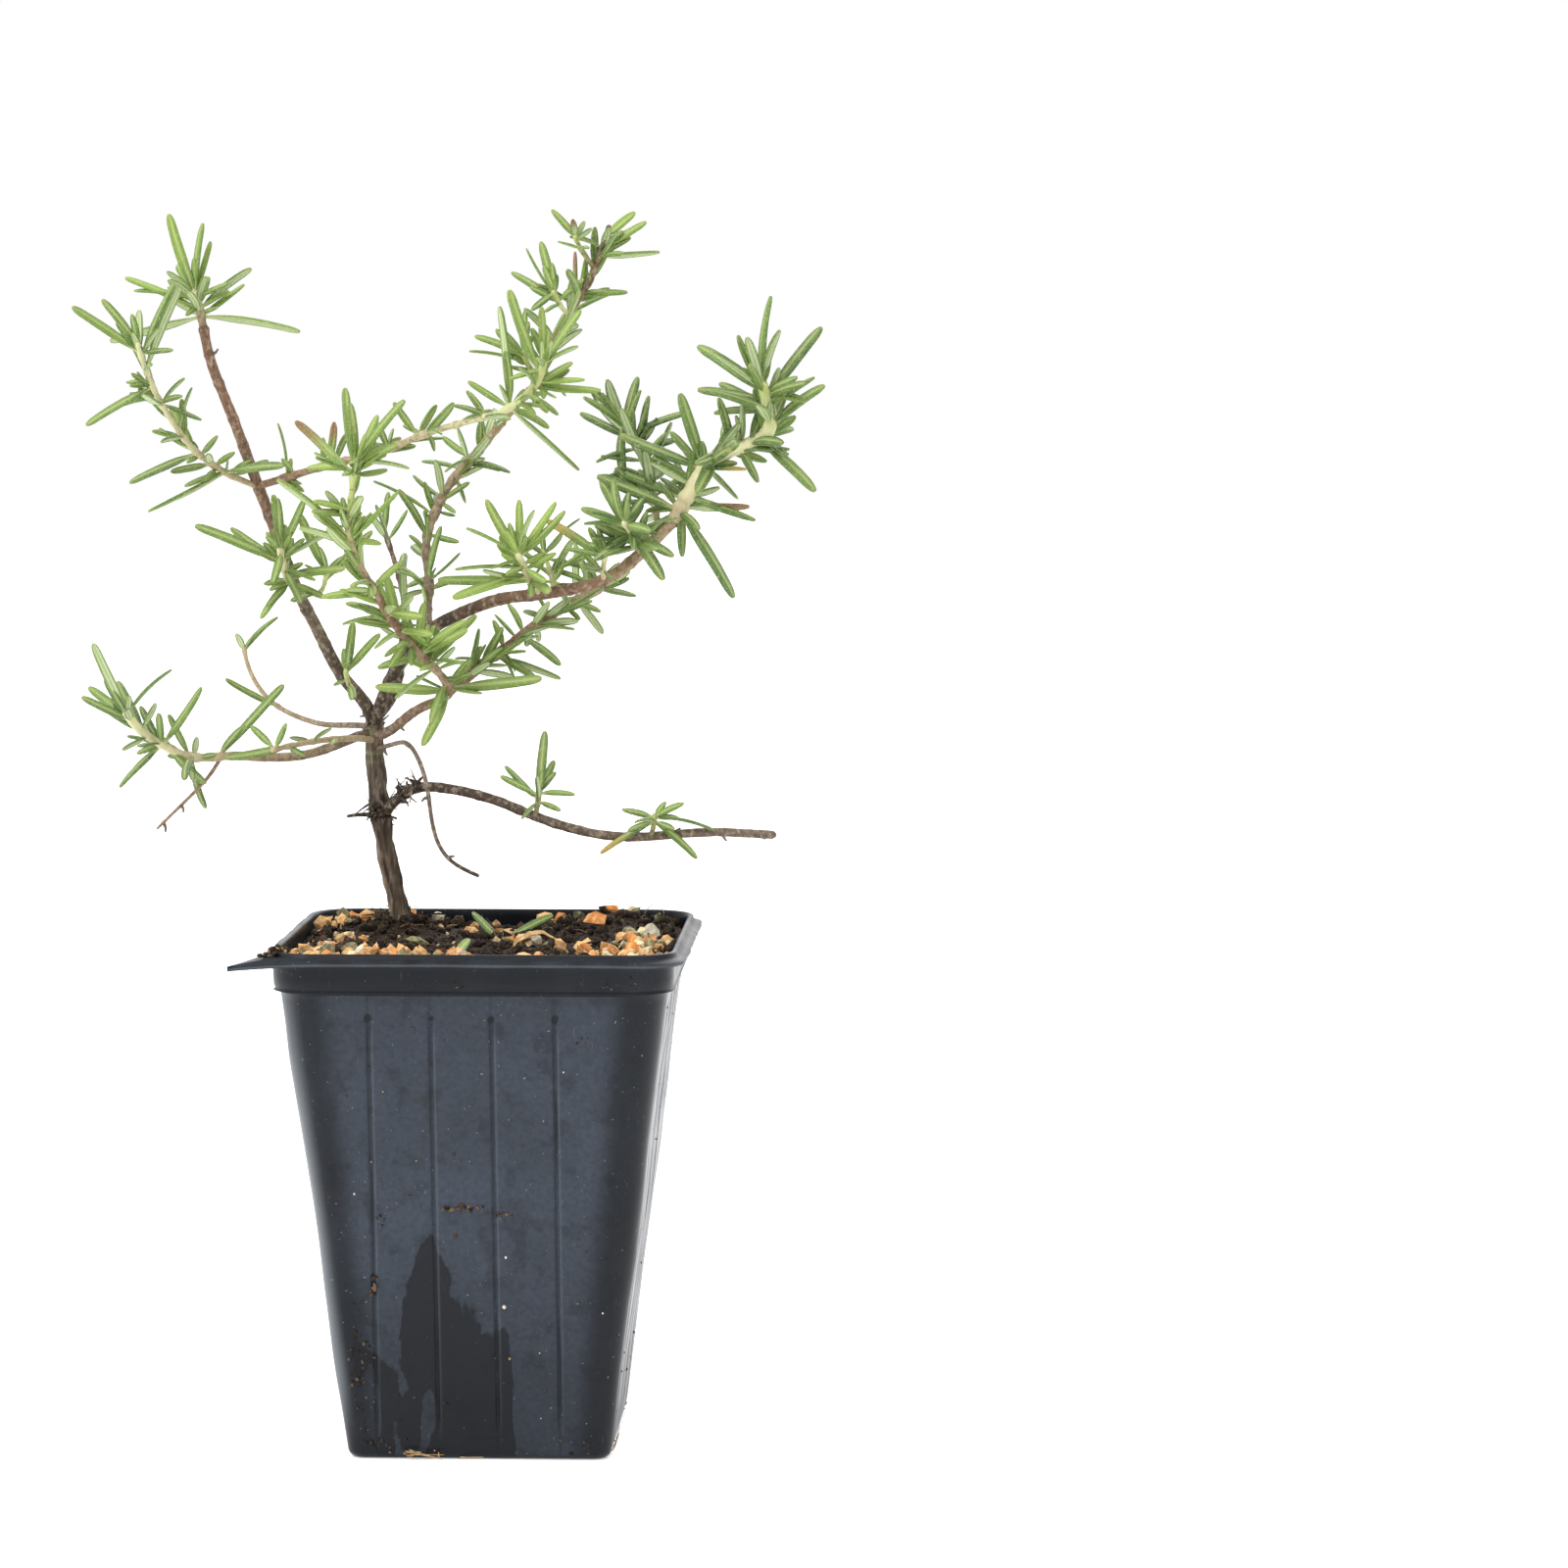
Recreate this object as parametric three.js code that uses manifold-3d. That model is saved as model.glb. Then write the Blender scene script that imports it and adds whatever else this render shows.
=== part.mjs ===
// A young rosemary in a square black nursery pot.
// Millimetres, +Z up, +X right, +Y away from the front of the pot.
// The origin is the middle of the pot's underside.
//
// The order is the order of growth: pot, soil, trunk, stems, shoots, leaves. A piece that grows
// from another starts just clear of it, and every leaf looks for room among what grew before it,
// so the pieces stay apart when a size changes.

import * as THREE from 'three';
import { mergeVertices } from 'three/addons/utils/BufferGeometryUtils.js';
import Module from 'manifold-3d';

const wasm = await Module();
wasm.setup();

// ---------------------------------------------------------------- sizes

const GAP = 0.3; // clear air between pieces that touch in the real plant

// Pot: half widths of a square with rounded corners, at the heights named below.
const POT_HEIGHT = 110.6;
const BASE_HALF = 28.2;
const BODY_TOP_HALF = 41;
const COLLAR_STEP = 1.3; // how far the collar band stands out past the body's top
const FLANGE_REACH = 2.7; // how far the flange stands out past the collar band
const COLLAR_BAND = 5.4; // height of the upright band under the flange
const STEP_DOWN = 1.1; // height of the slope between the band and the body
const LIP_DROP = 2.4; // how far the flange's outer edge hangs below the rim
const FLANGE_THICK = 0.8;
const BAND_FLARE = 0.3; // the band leans out by this much up to the flange
const LIP_OUTER = 1.6; // where the rounded rim begins and ends, past the collar band
const LIP_INNER = 0.8;
const LIP_ROUNDING = 0.5; // height of the rounded rim
const UNDERCUT = 0.2; // the flange's underside rises by this much towards the band
const WALL = 0.8;
const FLOOR = 0.9;
const FOOT_FILLET = 2.2;
const CORNER_SHARE = 0.22; // corner radius as a share of the half width
const GROOVE_WIDTH = 1.2;
const GROOVE_DEPTH = 0.35;
const GROOVES_PER_FACE = 4;
const GROOVE_PITCH = 13; // distance between grooves
const GROOVE_SHIFT = -2; // the four grooves sit a little to one side of each face
const GROOVE_ENDS = 5; // plain body below and above each groove
const DRAIN_HOLE = 3.6;
const DRAIN_PLACE = 16; // from the middle of the base, along X and along Y
const TAB_REACH = 5.5; // how far the torn corner sticks out past the flange
const TAB_ROOT = 12; // how far along the flange the torn corner's two edges start
const TAB_FORWARD = 1; // how far the point lies in front of the flange

// Soil and what lies on it.
const SOIL_BELOW_RIM = 3.2;
const ROOT_COLLAR_DEPTH = 2.4; // the plant's heights are measured from this far under the soil's top
const TRUNK_IN_SOIL = 9;
const ROOT_LEAN = 0.5; // how far the buried end stands to the side of the root collar

// Leaves: a narrow leaf with rolled edges.
const LEAF_WIDTH = 1.9;
const LEAF_THICK = 0.9;
const LEAF_BASE = 0.3; // a leaf widens from its foot over this share of its length
const LEAF_TAPER = 0.85; // and narrows to its tip past this one
const LEAF_DEPTH_SPREAD = 50; // degrees between the leaves that lean most to the front and the back
const LEAF_BEND_SPREAD = 0.25; // bend of a leaf, as a share of its length, from straightest to most bent
const LEAF_BEND_FORWARDS = 0.35; // share of that spread by which leaves bend the other way
const LEAF_INSET = 0.7; // a leaf's foot is this share of the stem's radius inside the stem
const AWAY_SHORTEST = 9; // lengths of the leaves that grow to the front and the back
const AWAY_LONGEST = 15;
const AWAY_FIRST = 0.2; // share of the shoot below the lowest of them
const AWAY_LEAN = 0.75; // how much they lean along the shoot against away from it
const LEAF_SCALE = 1; // all leaf lengths are multiplied by this
const STEM_SCALE = 1; // all stem thicknesses are multiplied by this

// ---------------------------------------------------------------- the plant, by hand
//
// A stem's route is a few points along its middle, their heights measured from the root collar;
// thick is its width at both ends.
// A leaf is [how far along its shoot, clock angle, length]: the clock angle is seen from the
// front of the pot, 0 straight up and 90 to the right. away is how many more leaves grow
// towards the front and the back of the pot.

const TRUNK = {
  name: 'trunk',
  thick: [5.6, 4.4],
  route: [[-21, 19, 3], [-22, 18, 12], [-24, 17, 20], [-25, 16, 30], [-26, 15, 40], [-26, 14, 50]],
};

const BARE_STEMS = [
  {
    name: 'left_stem', thick: [3.1, 2.3],
    route: [[-26, 14, 49], [-27, 13, 54], [-33, 12, 60], [-38, 10, 71], [-42, 8, 79],
      [-46, 6, 91], [-50, 3, 103], [-55, 0, 118], [-59, -3, 129], [-60, -5, 136]],
  },
  {
    name: 'right_stem', thick: [3.0, 2.7],
    route: [[-26, 14, 49], [-24, 10, 55], [-22, 10, 60], [-18, 8, 66], [-13, 6, 71], [-7, 4, 74],
      [3, 0, 78], [12, -3, 79], [26, -6, 82], [34, -8, 88], [41, -8, 95]],
  },
  {
    name: 'low_right_stem', thick: [2.4, 2],
    route: [[-25, 16, 29], [-21, 9, 33], [-18, 6, 36], [-12, 2, 37], [1, -4, 35], [12, -8, 31],
      [23, -10, 28], [33, -9, 27], [48, -6, 28], [62, -2, 27]],
  },
  {
    name: 'front_fork_stem', thick: [2.4, 2.1],
    route: [[-26, 14, 47], [-22, 9, 48], [-19, 6, 51], [-15, 2, 54], [-10, -1, 56]],
  },
  {
    name: 'low_left_stem', thick: [2.3, 2.0],
    route: [[-26, 14, 48], [-30, 12, 47], [-37, 8, 44], [-44, 3, 43], [-55, -4, 44]],
  },
  {
    name: 'dry_hanging_twig', thick: [1.1, 0.9],
    route: [[-26, 14, 44], [-20, 6, 46], [-17, 1, 47], [-13, -4, 40], [-12, -6, 35], [-11, -8, 28],
      [-8, -10, 22], [-1, -12, 19]],
  },
  {
    name: 'dry_left_twig', thick: [0.9, 0.7],
    route: [[-57, -5, 44], [-59, -6, 40], [-63, -8, 36], [-70, -12, 29]],
  },
  {
    name: 'trunk_spur', thick: [1.3, 0.8],
    route: [[-25, 16, 29], [-28, 12, 30], [-31, 6, 30]],
  },
];

const SHOOTS = [
  {
    name: 'left_crown', thick: [1.8, 1.2], away: 4,
    route: [[-60, -5, 136], [-61, -5, 141], [-62, -5, 144]],
    leaves: [[0, 92, 21], [0, -104, 21], [0.3, 75, 4], [0.4, 42, 14], [0.4, -62, 17], [0.7, -68, 13],
      [0.9, 15, 12], [0.9, -23, 18], [1, 0, 15], [1, -16, 7]],
  },
  {
    name: 'left_side_shoot', thick: [1.4, 1.0], away: 8,
    route: [[-50, 3, 102], [-56, -1, 105], [-62, -7, 110], [-67, -12, 118], [-70, -16, 125],
      [-72, -20, 133]],
    leaves: [[0.1, 62, 8], [0.12, 45, 5], [0.15, 78, 14], [0.15, -120, 19], [0.22, 53, 5],
      [0.24, -100, 9], [0.32, 46, 6], [0.34, -110, 19], [0.38, -55, 6], [0.44, -70, 7], [0.66, 112, 9],
      [0.66, 28, 7], [0.7, -88, 10], [0.7, -46, 7], [0.74, -24, 4], [0.76, -115, 16], [0.85, 15, 19],
      [0.92, 20, 17], [0.95, -52, 18], [1, -31, 12]],
  },
  {
    name: 'cross_shoot', thick: [1.7, 1.3], away: 7,
    route: [[-50, 3, 102], [-43, -1, 104], [-33, -4, 107], [-21, -8, 110], [-11, -10, 114],
      [4, -12, 118]],
    leaves: [[0.1, 110, 5], [0.12, 0, 12], [0.3, 12, 9], [0.33, 18, 7], [0.45, 66, 9], [0.68, 25, 8],
      [0.68, -35, 9], [0.7, 54, 9], [0.7, -63, 5], [0.72, 150, 4], [0.95, -56, 7], [0.95, -32, 7]],
  },
  {
    name: 'cross_crown', thick: [1.6, 1.2], away: 5,
    route: [[4, -12, 118], [9, -13, 121], [13, -15, 125], [14, -16, 129]],
    leaves: [[0, -2, 22], [0, 132, 21], [0, -58, 10], [0.1, 58, 5], [0.1, 73, 7], [0.5, 145, 6],
      [0.6, 95, 14], [0.6, 120, 5], [0.8, -24, 19], [0.9, 27, 19], [1, 0, 12], [1, 30, 14], [1, 50, 8]],
  },
  {
    name: 'left_front_shoot', thick: [1.5, 1.2], away: 5,
    route: [[-42, 8, 79], [-43, -3, 83], [-43, -12, 89]],
    leaves: [[0.35, -140, 10], [0.4, -105, 5], [0.5, 82, 14], [0.7, -58, 15], [0.75, -61, 20],
      [0.8, 55, 15], [1, 2, 12], [1, 29, 12], [1, -40, 5]],
  },
  {
    name: 'left_inner_sprig', thick: [1.1, 0.9], away: 2,
    route: [[-42, 8, 79], [-36, 1, 79], [-34, -4, 84]],
    leaves: [[0.9, -60, 5], [1, -25, 14], [1, 40, 5], [1, 0, 6]],
  },
  {
    name: 'fork_sprig', thick: [1.1, 0.9], away: 2,
    route: [[-30, 12, 57], [-31, 7, 59], [-31, 4, 62]],
    leaves: [[0.6, -100, 3], [0.9, 37, 11], [1, 10, 7], [1, -5, 5]],
  },
  {
    name: 'tall_shoot', thick: [2.0, 1.7], away: 9,
    route: [[-13, 6, 71], [-14, 12, 75], [-14, 16, 80], [-15, 20, 90], [-13, 22, 96], [-10, 23, 102],
      [-3, 23, 110], [2, 22, 116]],
    leaves: [[0.18, -32, 9], [0.2, 60, 6], [0.22, -54, 9], [0.24, 54, 10], [0.35, -30, 6], [0.38, 10, 7],
      [0.44, 3, 5], [0.52, -51, 15], [0.54, 104, 4], [0.58, 53, 8], [0.6, -62, 8], [0.7, 155, 6],
      [0.74, -70, 9], [0.76, 84, 7], [0.78, 94, 9], [0.8, -60, 8], [0.84, 7, 6]],
  },
  {
    name: 'tall_crown', thick: [1.7, 1.2], away: 8,
    route: [[2, 22, 116], [10, 20, 125], [13, 18, 132], [18, 16, 141], [22, 14, 147], [26, 12, 158]],
    leaves: [[0.15, 50, 5], [0.3, -15, 8], [0.55, 15, 9], [0.6, -48, 9], [0.62, -2, 11], [0.62, 62, 8],
      [0.66, 81, 10], [0.66, 30, 5], [0.86, 87, 13], [0.9, 59, 11], [0.9, 25, 5], [0.9, -52, 7]],
  },
  {
    name: 'tall_low_sprig', thick: [1.1, 0.9], away: 3,
    route: [[10, 20, 125], [8, 16, 128], [7, 13, 131]],
    leaves: [[0.5, -64, 13], [0.6, -55, 6], [0.8, -56, 11], [1, 0, 9], [1, 8, 7], [1, 25, 5]],
  },
  {
    name: 'tall_middle_sprig', thick: [1.1, 0.9], away: 2,
    route: [[17, 16, 139], [15, 14, 141], [14, 12, 144]],
    leaves: [[0.5, -54, 13], [0.8, -5, 7], [1, -15, 12]],
  },
  {
    name: 'tall_top_sprig', thick: [1.1, 0.8], away: 1,
    route: [[23, 14, 149], [20, 10, 153], [19, 8, 156]],
    leaves: [[0.6, -68, 5], [0.9, 55, 4], [1, -36, 8], [1, -11, 4], [1, 23, 4]],
  },
  {
    name: 'back_shoot', thick: [1.9, 1.0], away: 5,
    route: [[-26, 14, 50], [-22, 21, 56], [-21, 26, 65], [-21, 30, 75], [-23, 33, 83], [-26, 36, 91]],
    leaves: [[0.45, -60, 6], [0.7, 60, 8], [0.7, -70, 7], [0.95, -30, 7], [0.95, 35, 8], [1, 0, 9]],
  },
  {
    name: 'right_crown', thick: [3.2, 2.0], away: 9,
    route: [[41, -8, 95], [45, -8, 102], [48, -8, 107], [52, -8, 110], [56, -9, 111], [61, -9, 113],
      [62, -10, 118], [60, -10, 124]],
    leaves: [[0, -65, 19], [0.02, -120, 13], [0.02, 142, 22], [0.05, 178, 10], [0.05, 90, 14],
      [0.1, -66, 17], [0.1, -14, 9], [0.12, 109, 15], [0.3, -70, 19], [0.3, 87, 9], [0.3, -17, 17],
      [0.32, 80, 6], [0.45, 0, 5], [0.5, -12, 11], [0.55, 2, 6], [0.66, 125, 16], [0.68, 120, 6],
      [0.7, 60, 8], [0.85, -57, 13], [0.88, 55, 12], [0.92, 34, 20], [0.95, -48, 19], [1, -16, 12],
      [1, 3, 12], [1, -5, 19]],
  },
  {
    name: 'right_inner_shoot', thick: [1.6, 1.1], away: 5,
    route: [[38, -8, 92], [36, -1, 102], [33, 3, 110], [29, 5, 116]],
    leaves: [[0.35, -66, 12], [0.35, 70, 8], [0.5, -88, 8], [0.55, 27, 6], [0.6, 22, 8], [0.7, 60, 7],
      [0.8, 0, 7], [0.9, 5, 9], [1, -33, 8], [1, -40, 10]],
  },
  {
    name: 'right_front_sprig', thick: [1.3, 1.0], away: 3,
    route: [[34, -8, 88], [33, -13, 92], [31, -17, 95]],
    leaves: [[0.5, -118, 10], [0.6, 127, 11], [0.7, 140, 13], [0.8, -70, 9], [0.9, 95, 8], [1, 0, 7],
      [1, -25, 10], [1, 30, 8]],
  },
  {
    name: 'right_yellow_sprig', thick: [1.2, 0.9], away: 2,
    route: [[26, -6, 82], [26, -10, 85], [27, -12, 89]],
    leaves: [[0.7, -50, 16], [0.8, 65, 9], [1, -60, 8], [1, 20, 6], [1, -10, 5]],
  },
  {
    name: 'middle_bright_shoot', thick: [1.5, 1.2], away: 4,
    route: [[12, -3, 79], [10, -8, 83], [8, -12, 88]],
    leaves: [[0.3, -88, 20], [0.3, 86, 6], [0.5, -103, 17], [0.7, -85, 15], [0.75, 60, 5], [0.9, 5, 6],
      [1, -54, 13], [1, -35, 14], [1, 35, 14], [1, 50, 14]],
  },
  {
    name: 'middle_back_sprig', thick: [1.1, 0.9], away: 3,
    route: [[15, -4, 80], [14, 2, 83], [12, 5, 88]],
    leaves: [[0.5, 62, 12], [0.6, 100, 9], [0.9, -10, 6], [1, 50, 6], [1, -50, 4]],
  },
  {
    name: 'middle_right_shoot', thick: [2.0, 1.7], away: 7,
    route: [[-10, -1, 56], [-3, 6, 62], [4, 12, 67], [12, 18, 73], [23, 24, 79]],
    leaves: [[0.15, 54, 6], [0.2, 89, 9], [0.22, 43, 7], [0.25, 80, 6], [0.35, 107, 15], [0.4, 132, 5],
      [0.45, 60, 6], [0.5, -40, 7], [0.7, -20, 8], [0.8, 73, 6], [0.8, 124, 4], [0.85, 105, 6],
      [1, 60, 8], [1, 95, 9], [1, 75, 7], [1, -10, 6]],
  },
  {
    name: 'front_shoot', thick: [1.7, 1.2], away: 12,
    route: [[-10, -1, 56], [-7, -6, 58], [-9, -9, 62], [-14, -14, 68], [-19, -18, 75], [-23, -21, 83],
      [-25, -22, 86], [-27, -23, 94], [-26, -24, 102]],
    leaves: [[0.08, -87, 16], [0.08, -155, 13], [0.1, 85, 20], [0.1, 100, 7], [0.1, -147, 6],
      [0.12, 60, 6], [0.2, -70, 8], [0.2, 56, 6], [0.22, 48, 6], [0.24, 37, 14], [0.3, 45, 12],
      [0.3, 63, 12], [0.32, 8, 10], [0.48, -79, 10], [0.48, 43, 8], [0.49, -64, 10], [0.5, -14, 8],
      [0.47, 122, 10], [0.62, 45, 8], [0.62, -50, 9], [0.82, -43, 20], [0.82, 48, 16], [0.82, 41, 7],
      [0.84, 20, 5], [0.84, -19, 6]],
  },
  {
    name: 'front_crown', thick: [1.3, 1.1], away: 4,
    route: [[-26, -24, 102], [-26, -24, 105], [-25, -25, 108]],
    leaves: [[0.2, -43, 20], [0.3, 39, 11], [0.4, 88, 7], [0.5, 65, 8], [0.7, -10, 18], [0.8, 1, 13],
      [0.9, 31, 17], [1, 22, 6], [1, 55, 9]],
  },
  {
    name: 'low_left_crown', thick: [1.9, 1.3], away: 5,
    route: [[-55, -4, 44], [-63, -9, 44], [-69, -12, 47], [-73, -14, 50], [-76, -16, 54]],
    leaves: [[0.06, 40, 21], [0.25, 80, 4], [0.28, 3, 4], [0.3, 178, 12], [0.58, 40, 17], [0.6, -30, 9],
      [0.6, -75, 8], [0.58, -128, 14], [0.8, 32, 7], [0.85, -51, 14], [0.9, -62, 12], [1, -26, 17],
      [1, 28, 13]],
  },
  {
    name: 'low_back_shoot', thick: [1.5, 0.9], away: 1,
    route: [[-26, 14, 49], [-31, 18, 49], [-39, 21, 49], [-48, 25, 52], [-53, 28, 56], [-56, 30, 61],
      [-57, 31, 65]],
    leaves: [[1, 28, 10], [1, -20, 4]],
  },
  {
    name: 'low_front_shoot', thick: [1.6, 1.1], away: 2,
    route: [[-26, 14, 46], [-30, 7, 47], [-37, -1, 47], [-45, -12, 46]],
    leaves: [[0.6, 45, 5], [0.6, -74, 5], [0.85, 120, 4], [1, -43, 7], [1, 25, 6], [1, 31, 5]],
  },
  {
    name: 'low_right_sprig', thick: [1.2, 1.0], away: 2,
    route: [[11, -8, 31], [12, -9, 35], [12, -9, 37]],
    leaves: [[0.5, -130, 5], [0.5, 105, 5], [0.6, -46, 10], [0.8, -62, 9], [0.9, 28, 6], [0.9, 83, 8],
      [1, 4, 14]],
  },
  {
    name: 'low_right_end_sprig', thick: [1.2, 1.0], away: 1,
    route: [[36, -9, 27], [37, -10, 30], [37, -11, 32]],
    leaves: [[0.6, -112, 13], [0.6, 122, 12], [1, 89, 13], [1, -68, 7], [1, 80, 5], [0.9, 30, 4]],
  },
];

// ---------------------------------------------------------------- materials

const colours = {
  pot: { color: 0x262b33, roughness: 0.5, metalness: 0 },
  soil: { color: 0x1d1713, roughness: 0.95, metalness: 0 },
  grit: { color: 0xd9a066, roughness: 0.85, metalness: 0 },
  bark: { color: 0x5b4a3e, roughness: 0.9, metalness: 0 },
  leaf: { color: 0x5c8b3a, roughness: 0.6, metalness: 0 },
  dryLeaf: { color: 0xb98f56, roughness: 0.85, metalness: 0 },
};
const materials = Object.fromEntries(
  Object.entries(colours).map(([key, look]) => [key, new THREE.MeshStandardMaterial(look)]),
);

const plant = new THREE.Group();

function addNode(name, geometry, material) {
  const mesh = new THREE.Mesh(geometry, material);
  mesh.name = name;
  plant.add(mesh);
}

// ---------------------------------------------------------------- solids

// A closed surface as a solid.
function solid(geometry) {
  const bare = geometry.clone();
  bare.deleteAttribute('normal');
  bare.deleteAttribute('uv');
  const merged = mergeVertices(bare, 1e-4);
  return new wasm.Manifold(new wasm.Mesh({
    numProp: 3,
    vertProperties: new Float32Array(merged.getAttribute('position').array),
    triVerts: new Uint32Array(merged.index.array),
  }));
}

// The surface of a solid.
function geometryOf(body) {
  const mesh = body.getMesh();
  const geometry = new THREE.BufferGeometry();
  geometry.setAttribute('position', new THREE.BufferAttribute(mesh.vertProperties, 3));
  geometry.setIndex(new THREE.BufferAttribute(mesh.triVerts, 1));
  geometry.computeVertexNormals();
  return geometry;
}

// A fixed number from 0 to 1 for each whole number, the same on every run.
function chance(n) {
  const s = Math.sin(n * 12.9898 + 4.1414) * 43758.5453;
  return s - Math.floor(s);
}

// A square of half width 1 with rounded corners.
function roundedSquare() {
  const r = CORNER_SHARE;
  const outline = new THREE.Shape();
  outline.moveTo(1, -1 + r);
  outline.absarc(1 - r, 1 - r, r, 0, Math.PI / 2);
  outline.absarc(-1 + r, 1 - r, r, Math.PI / 2, Math.PI);
  outline.absarc(-1 + r, -1 + r, r, Math.PI, Math.PI * 1.5);
  outline.absarc(1 - r, -1 + r, r, Math.PI * 1.5, Math.PI * 2);
  return outline;
}

// Rounded squares of [half width, height], joined into one solid from the lowest up.
function loft(levels) {
  const steps = levels.length - 1;
  const options = { depth: steps, steps, bevelEnabled: false, curveSegments: 4 };
  const geometry = new THREE.ExtrudeGeometry(roundedSquare(), options);
  const place = geometry.getAttribute('position');
  for (let i = 0; i < place.count; i += 1) {
    const [half, height] = levels[Math.round(place.getZ(i))];
    place.setXYZ(i, place.getX(i) * half, place.getY(i) * half, height);
  }
  return solid(geometry);
}

// ---------------------------------------------------------------- pot

const COLLAR_HALF = BODY_TOP_HALF + COLLAR_STEP;
const FLANGE_HALF = COLLAR_HALF + FLANGE_REACH;
const COLLAR_LOW = POT_HEIGHT - LIP_DROP - COLLAR_BAND;
const BODY_TOP = COLLAR_LOW - STEP_DOWN;
const FLANGE_LOW = POT_HEIGHT - LIP_DROP;

// Half width of the outside of the pot's body at a height.
function bodyHalf(height) {
  return BASE_HALF + (BODY_TOP_HALF - BASE_HALF) * (height / BODY_TOP);
}

function potSolid() {
  const outside = loft([
    [BASE_HALF - FOOT_FILLET, 0],
    [bodyHalf(FOOT_FILLET), FOOT_FILLET],
    [BODY_TOP_HALF, BODY_TOP],
    [COLLAR_HALF, COLLAR_LOW],
    [COLLAR_HALF + BAND_FLARE, FLANGE_LOW - UNDERCUT],
    [FLANGE_HALF, FLANGE_LOW],
    [FLANGE_HALF, FLANGE_LOW + FLANGE_THICK],
    [COLLAR_HALF + LIP_OUTER, POT_HEIGHT - LIP_ROUNDING],
    [COLLAR_HALF + LIP_INNER, POT_HEIGHT],
  ]);
  const inside = loft([
    [BASE_HALF - FOOT_FILLET - WALL, FLOOR],
    [bodyHalf(FOOT_FILLET) - WALL, FOOT_FILLET + FLOOR],
    [BODY_TOP_HALF - WALL, BODY_TOP],
    [COLLAR_HALF - WALL, COLLAR_LOW],
    [COLLAR_HALF - WALL + BAND_FLARE, FLANGE_LOW],
    [COLLAR_HALF - WALL + BAND_FLARE * 2, POT_HEIGHT + 1],
  ]);
  let pot = outside.add(tornTab()).subtract(inside);
  for (const groove of grooves()) pot = pot.subtract(groove);
  for (const hole of drainHoles()) pot = pot.subtract(hole);
  return pot;
}

// The front left corner of the flange was torn from its neighbour and ends in a point.
function tornTab() {
  const outer = FLANGE_HALF - 0.5;
  const shape = new THREE.Shape();
  shape.moveTo(-outer, -outer + TAB_ROOT);
  shape.lineTo(-outer + TAB_ROOT / 2, -outer + TAB_ROOT / 2);
  shape.lineTo(-outer + TAB_ROOT, -outer);
  shape.lineTo(-FLANGE_HALF - TAB_REACH, -FLANGE_HALF - TAB_FORWARD);
  shape.closePath();
  const geometry = new THREE.ExtrudeGeometry(shape, { depth: FLANGE_THICK * 0.8, bevelEnabled: false });
  geometry.translate(0, 0, FLANGE_LOW + FLANGE_THICK * 0.1);
  return solid(geometry);
}

// Shallow upright grooves in each face, following the slope of the body.
function grooves() {
  const cuts = [];
  const slope = Math.atan2(BODY_TOP_HALF - BASE_HALF, BODY_TOP);
  const middle = BODY_TOP / 2;
  const length = (BODY_TOP - GROOVE_ENDS * 2) / Math.cos(slope);
  for (let face = 0; face < 4; face += 1) {
    for (let i = 0; i < GROOVES_PER_FACE; i += 1) {
      const side = (i - (GROOVES_PER_FACE - 1) / 2) * GROOVE_PITCH + GROOVE_SHIFT;
      const box = new THREE.BoxGeometry(GROOVE_WIDTH, GROOVE_DEPTH * 2, length);
      box.rotateX(slope);
      box.translate(side, -bodyHalf(middle), middle);
      box.rotateZ((face * Math.PI) / 2);
      cuts.push(solid(box));
    }
  }
  return cuts;
}

function drainHoles() {
  const holes = [];
  for (const x of [-DRAIN_PLACE, DRAIN_PLACE]) {
    for (const y of [-DRAIN_PLACE, DRAIN_PLACE]) {
      const hole = new THREE.CylinderGeometry(DRAIN_HOLE / 2, DRAIN_HOLE / 2, FLOOR * 4, 10);
      hole.rotateX(Math.PI / 2);
      hole.translate(x, y, 0);
      holes.push(solid(hole));
    }
  }
  return holes;
}

// ---------------------------------------------------------------- what has grown so far

const SOIL_TOP = POT_HEIGHT - SOIL_BELOW_RIM;
const ROOT_COLLAR = SOIL_TOP - ROOT_COLLAR_DEPTH;
const grownStems = []; // { owner, points, radii }: straight pieces between points
const grownLeaves = []; // { owner, points, half }: the middle line of each leaf

// A route's point in the part's own frame.
const fromCollar = ([x, y, z]) => new THREE.Vector3(x, y, z + ROOT_COLLAR);

// Points along a smooth curve through a route, about every spacing millimetres.
function walk(route, spacing) {
  const curve = new THREE.CatmullRomCurve3(route.map(fromCollar), false, 'catmullrom', 0.5);
  const count = Math.max(2, Math.ceil(curve.getLength() / spacing));
  return curve.getSpacedPoints(count);
}

// Distance from a point to a straight piece of stem with flat ends.
function toStemPiece(point, from, to, radius) {
  const axis = to.clone().sub(from);
  const length = axis.length();
  axis.divideScalar(length);
  const offset = point.clone().sub(from);
  const along = offset.dot(axis);
  const beside = Math.sqrt(Math.max(0, offset.lengthSq() - along * along)) - radius;
  const beyond = Math.max(-along, along - length, 0);
  return Math.hypot(Math.max(beside, 0), beyond);
}

function toSegment(point, from, to) {
  const axis = to.clone().sub(from);
  const share = THREE.MathUtils.clamp(point.clone().sub(from).dot(axis) / axis.lengthSq(), 0, 1);
  return point.distanceTo(from.clone().addScaledVector(axis, share));
}

// True when a ball around the point stays clear of every stem but the owner's.
function clearOfStems(point, radius, owner) {
  return grownStems.every((stem) => stem.owner === owner || stem.points.every((from, i) => {
    if (i === stem.points.length - 1) return true;
    const thickest = Math.max(stem.radii[i], stem.radii[i + 1]);
    return toStemPiece(point, from, stem.points[i + 1], thickest) > radius + GAP;
  }));
}

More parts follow.
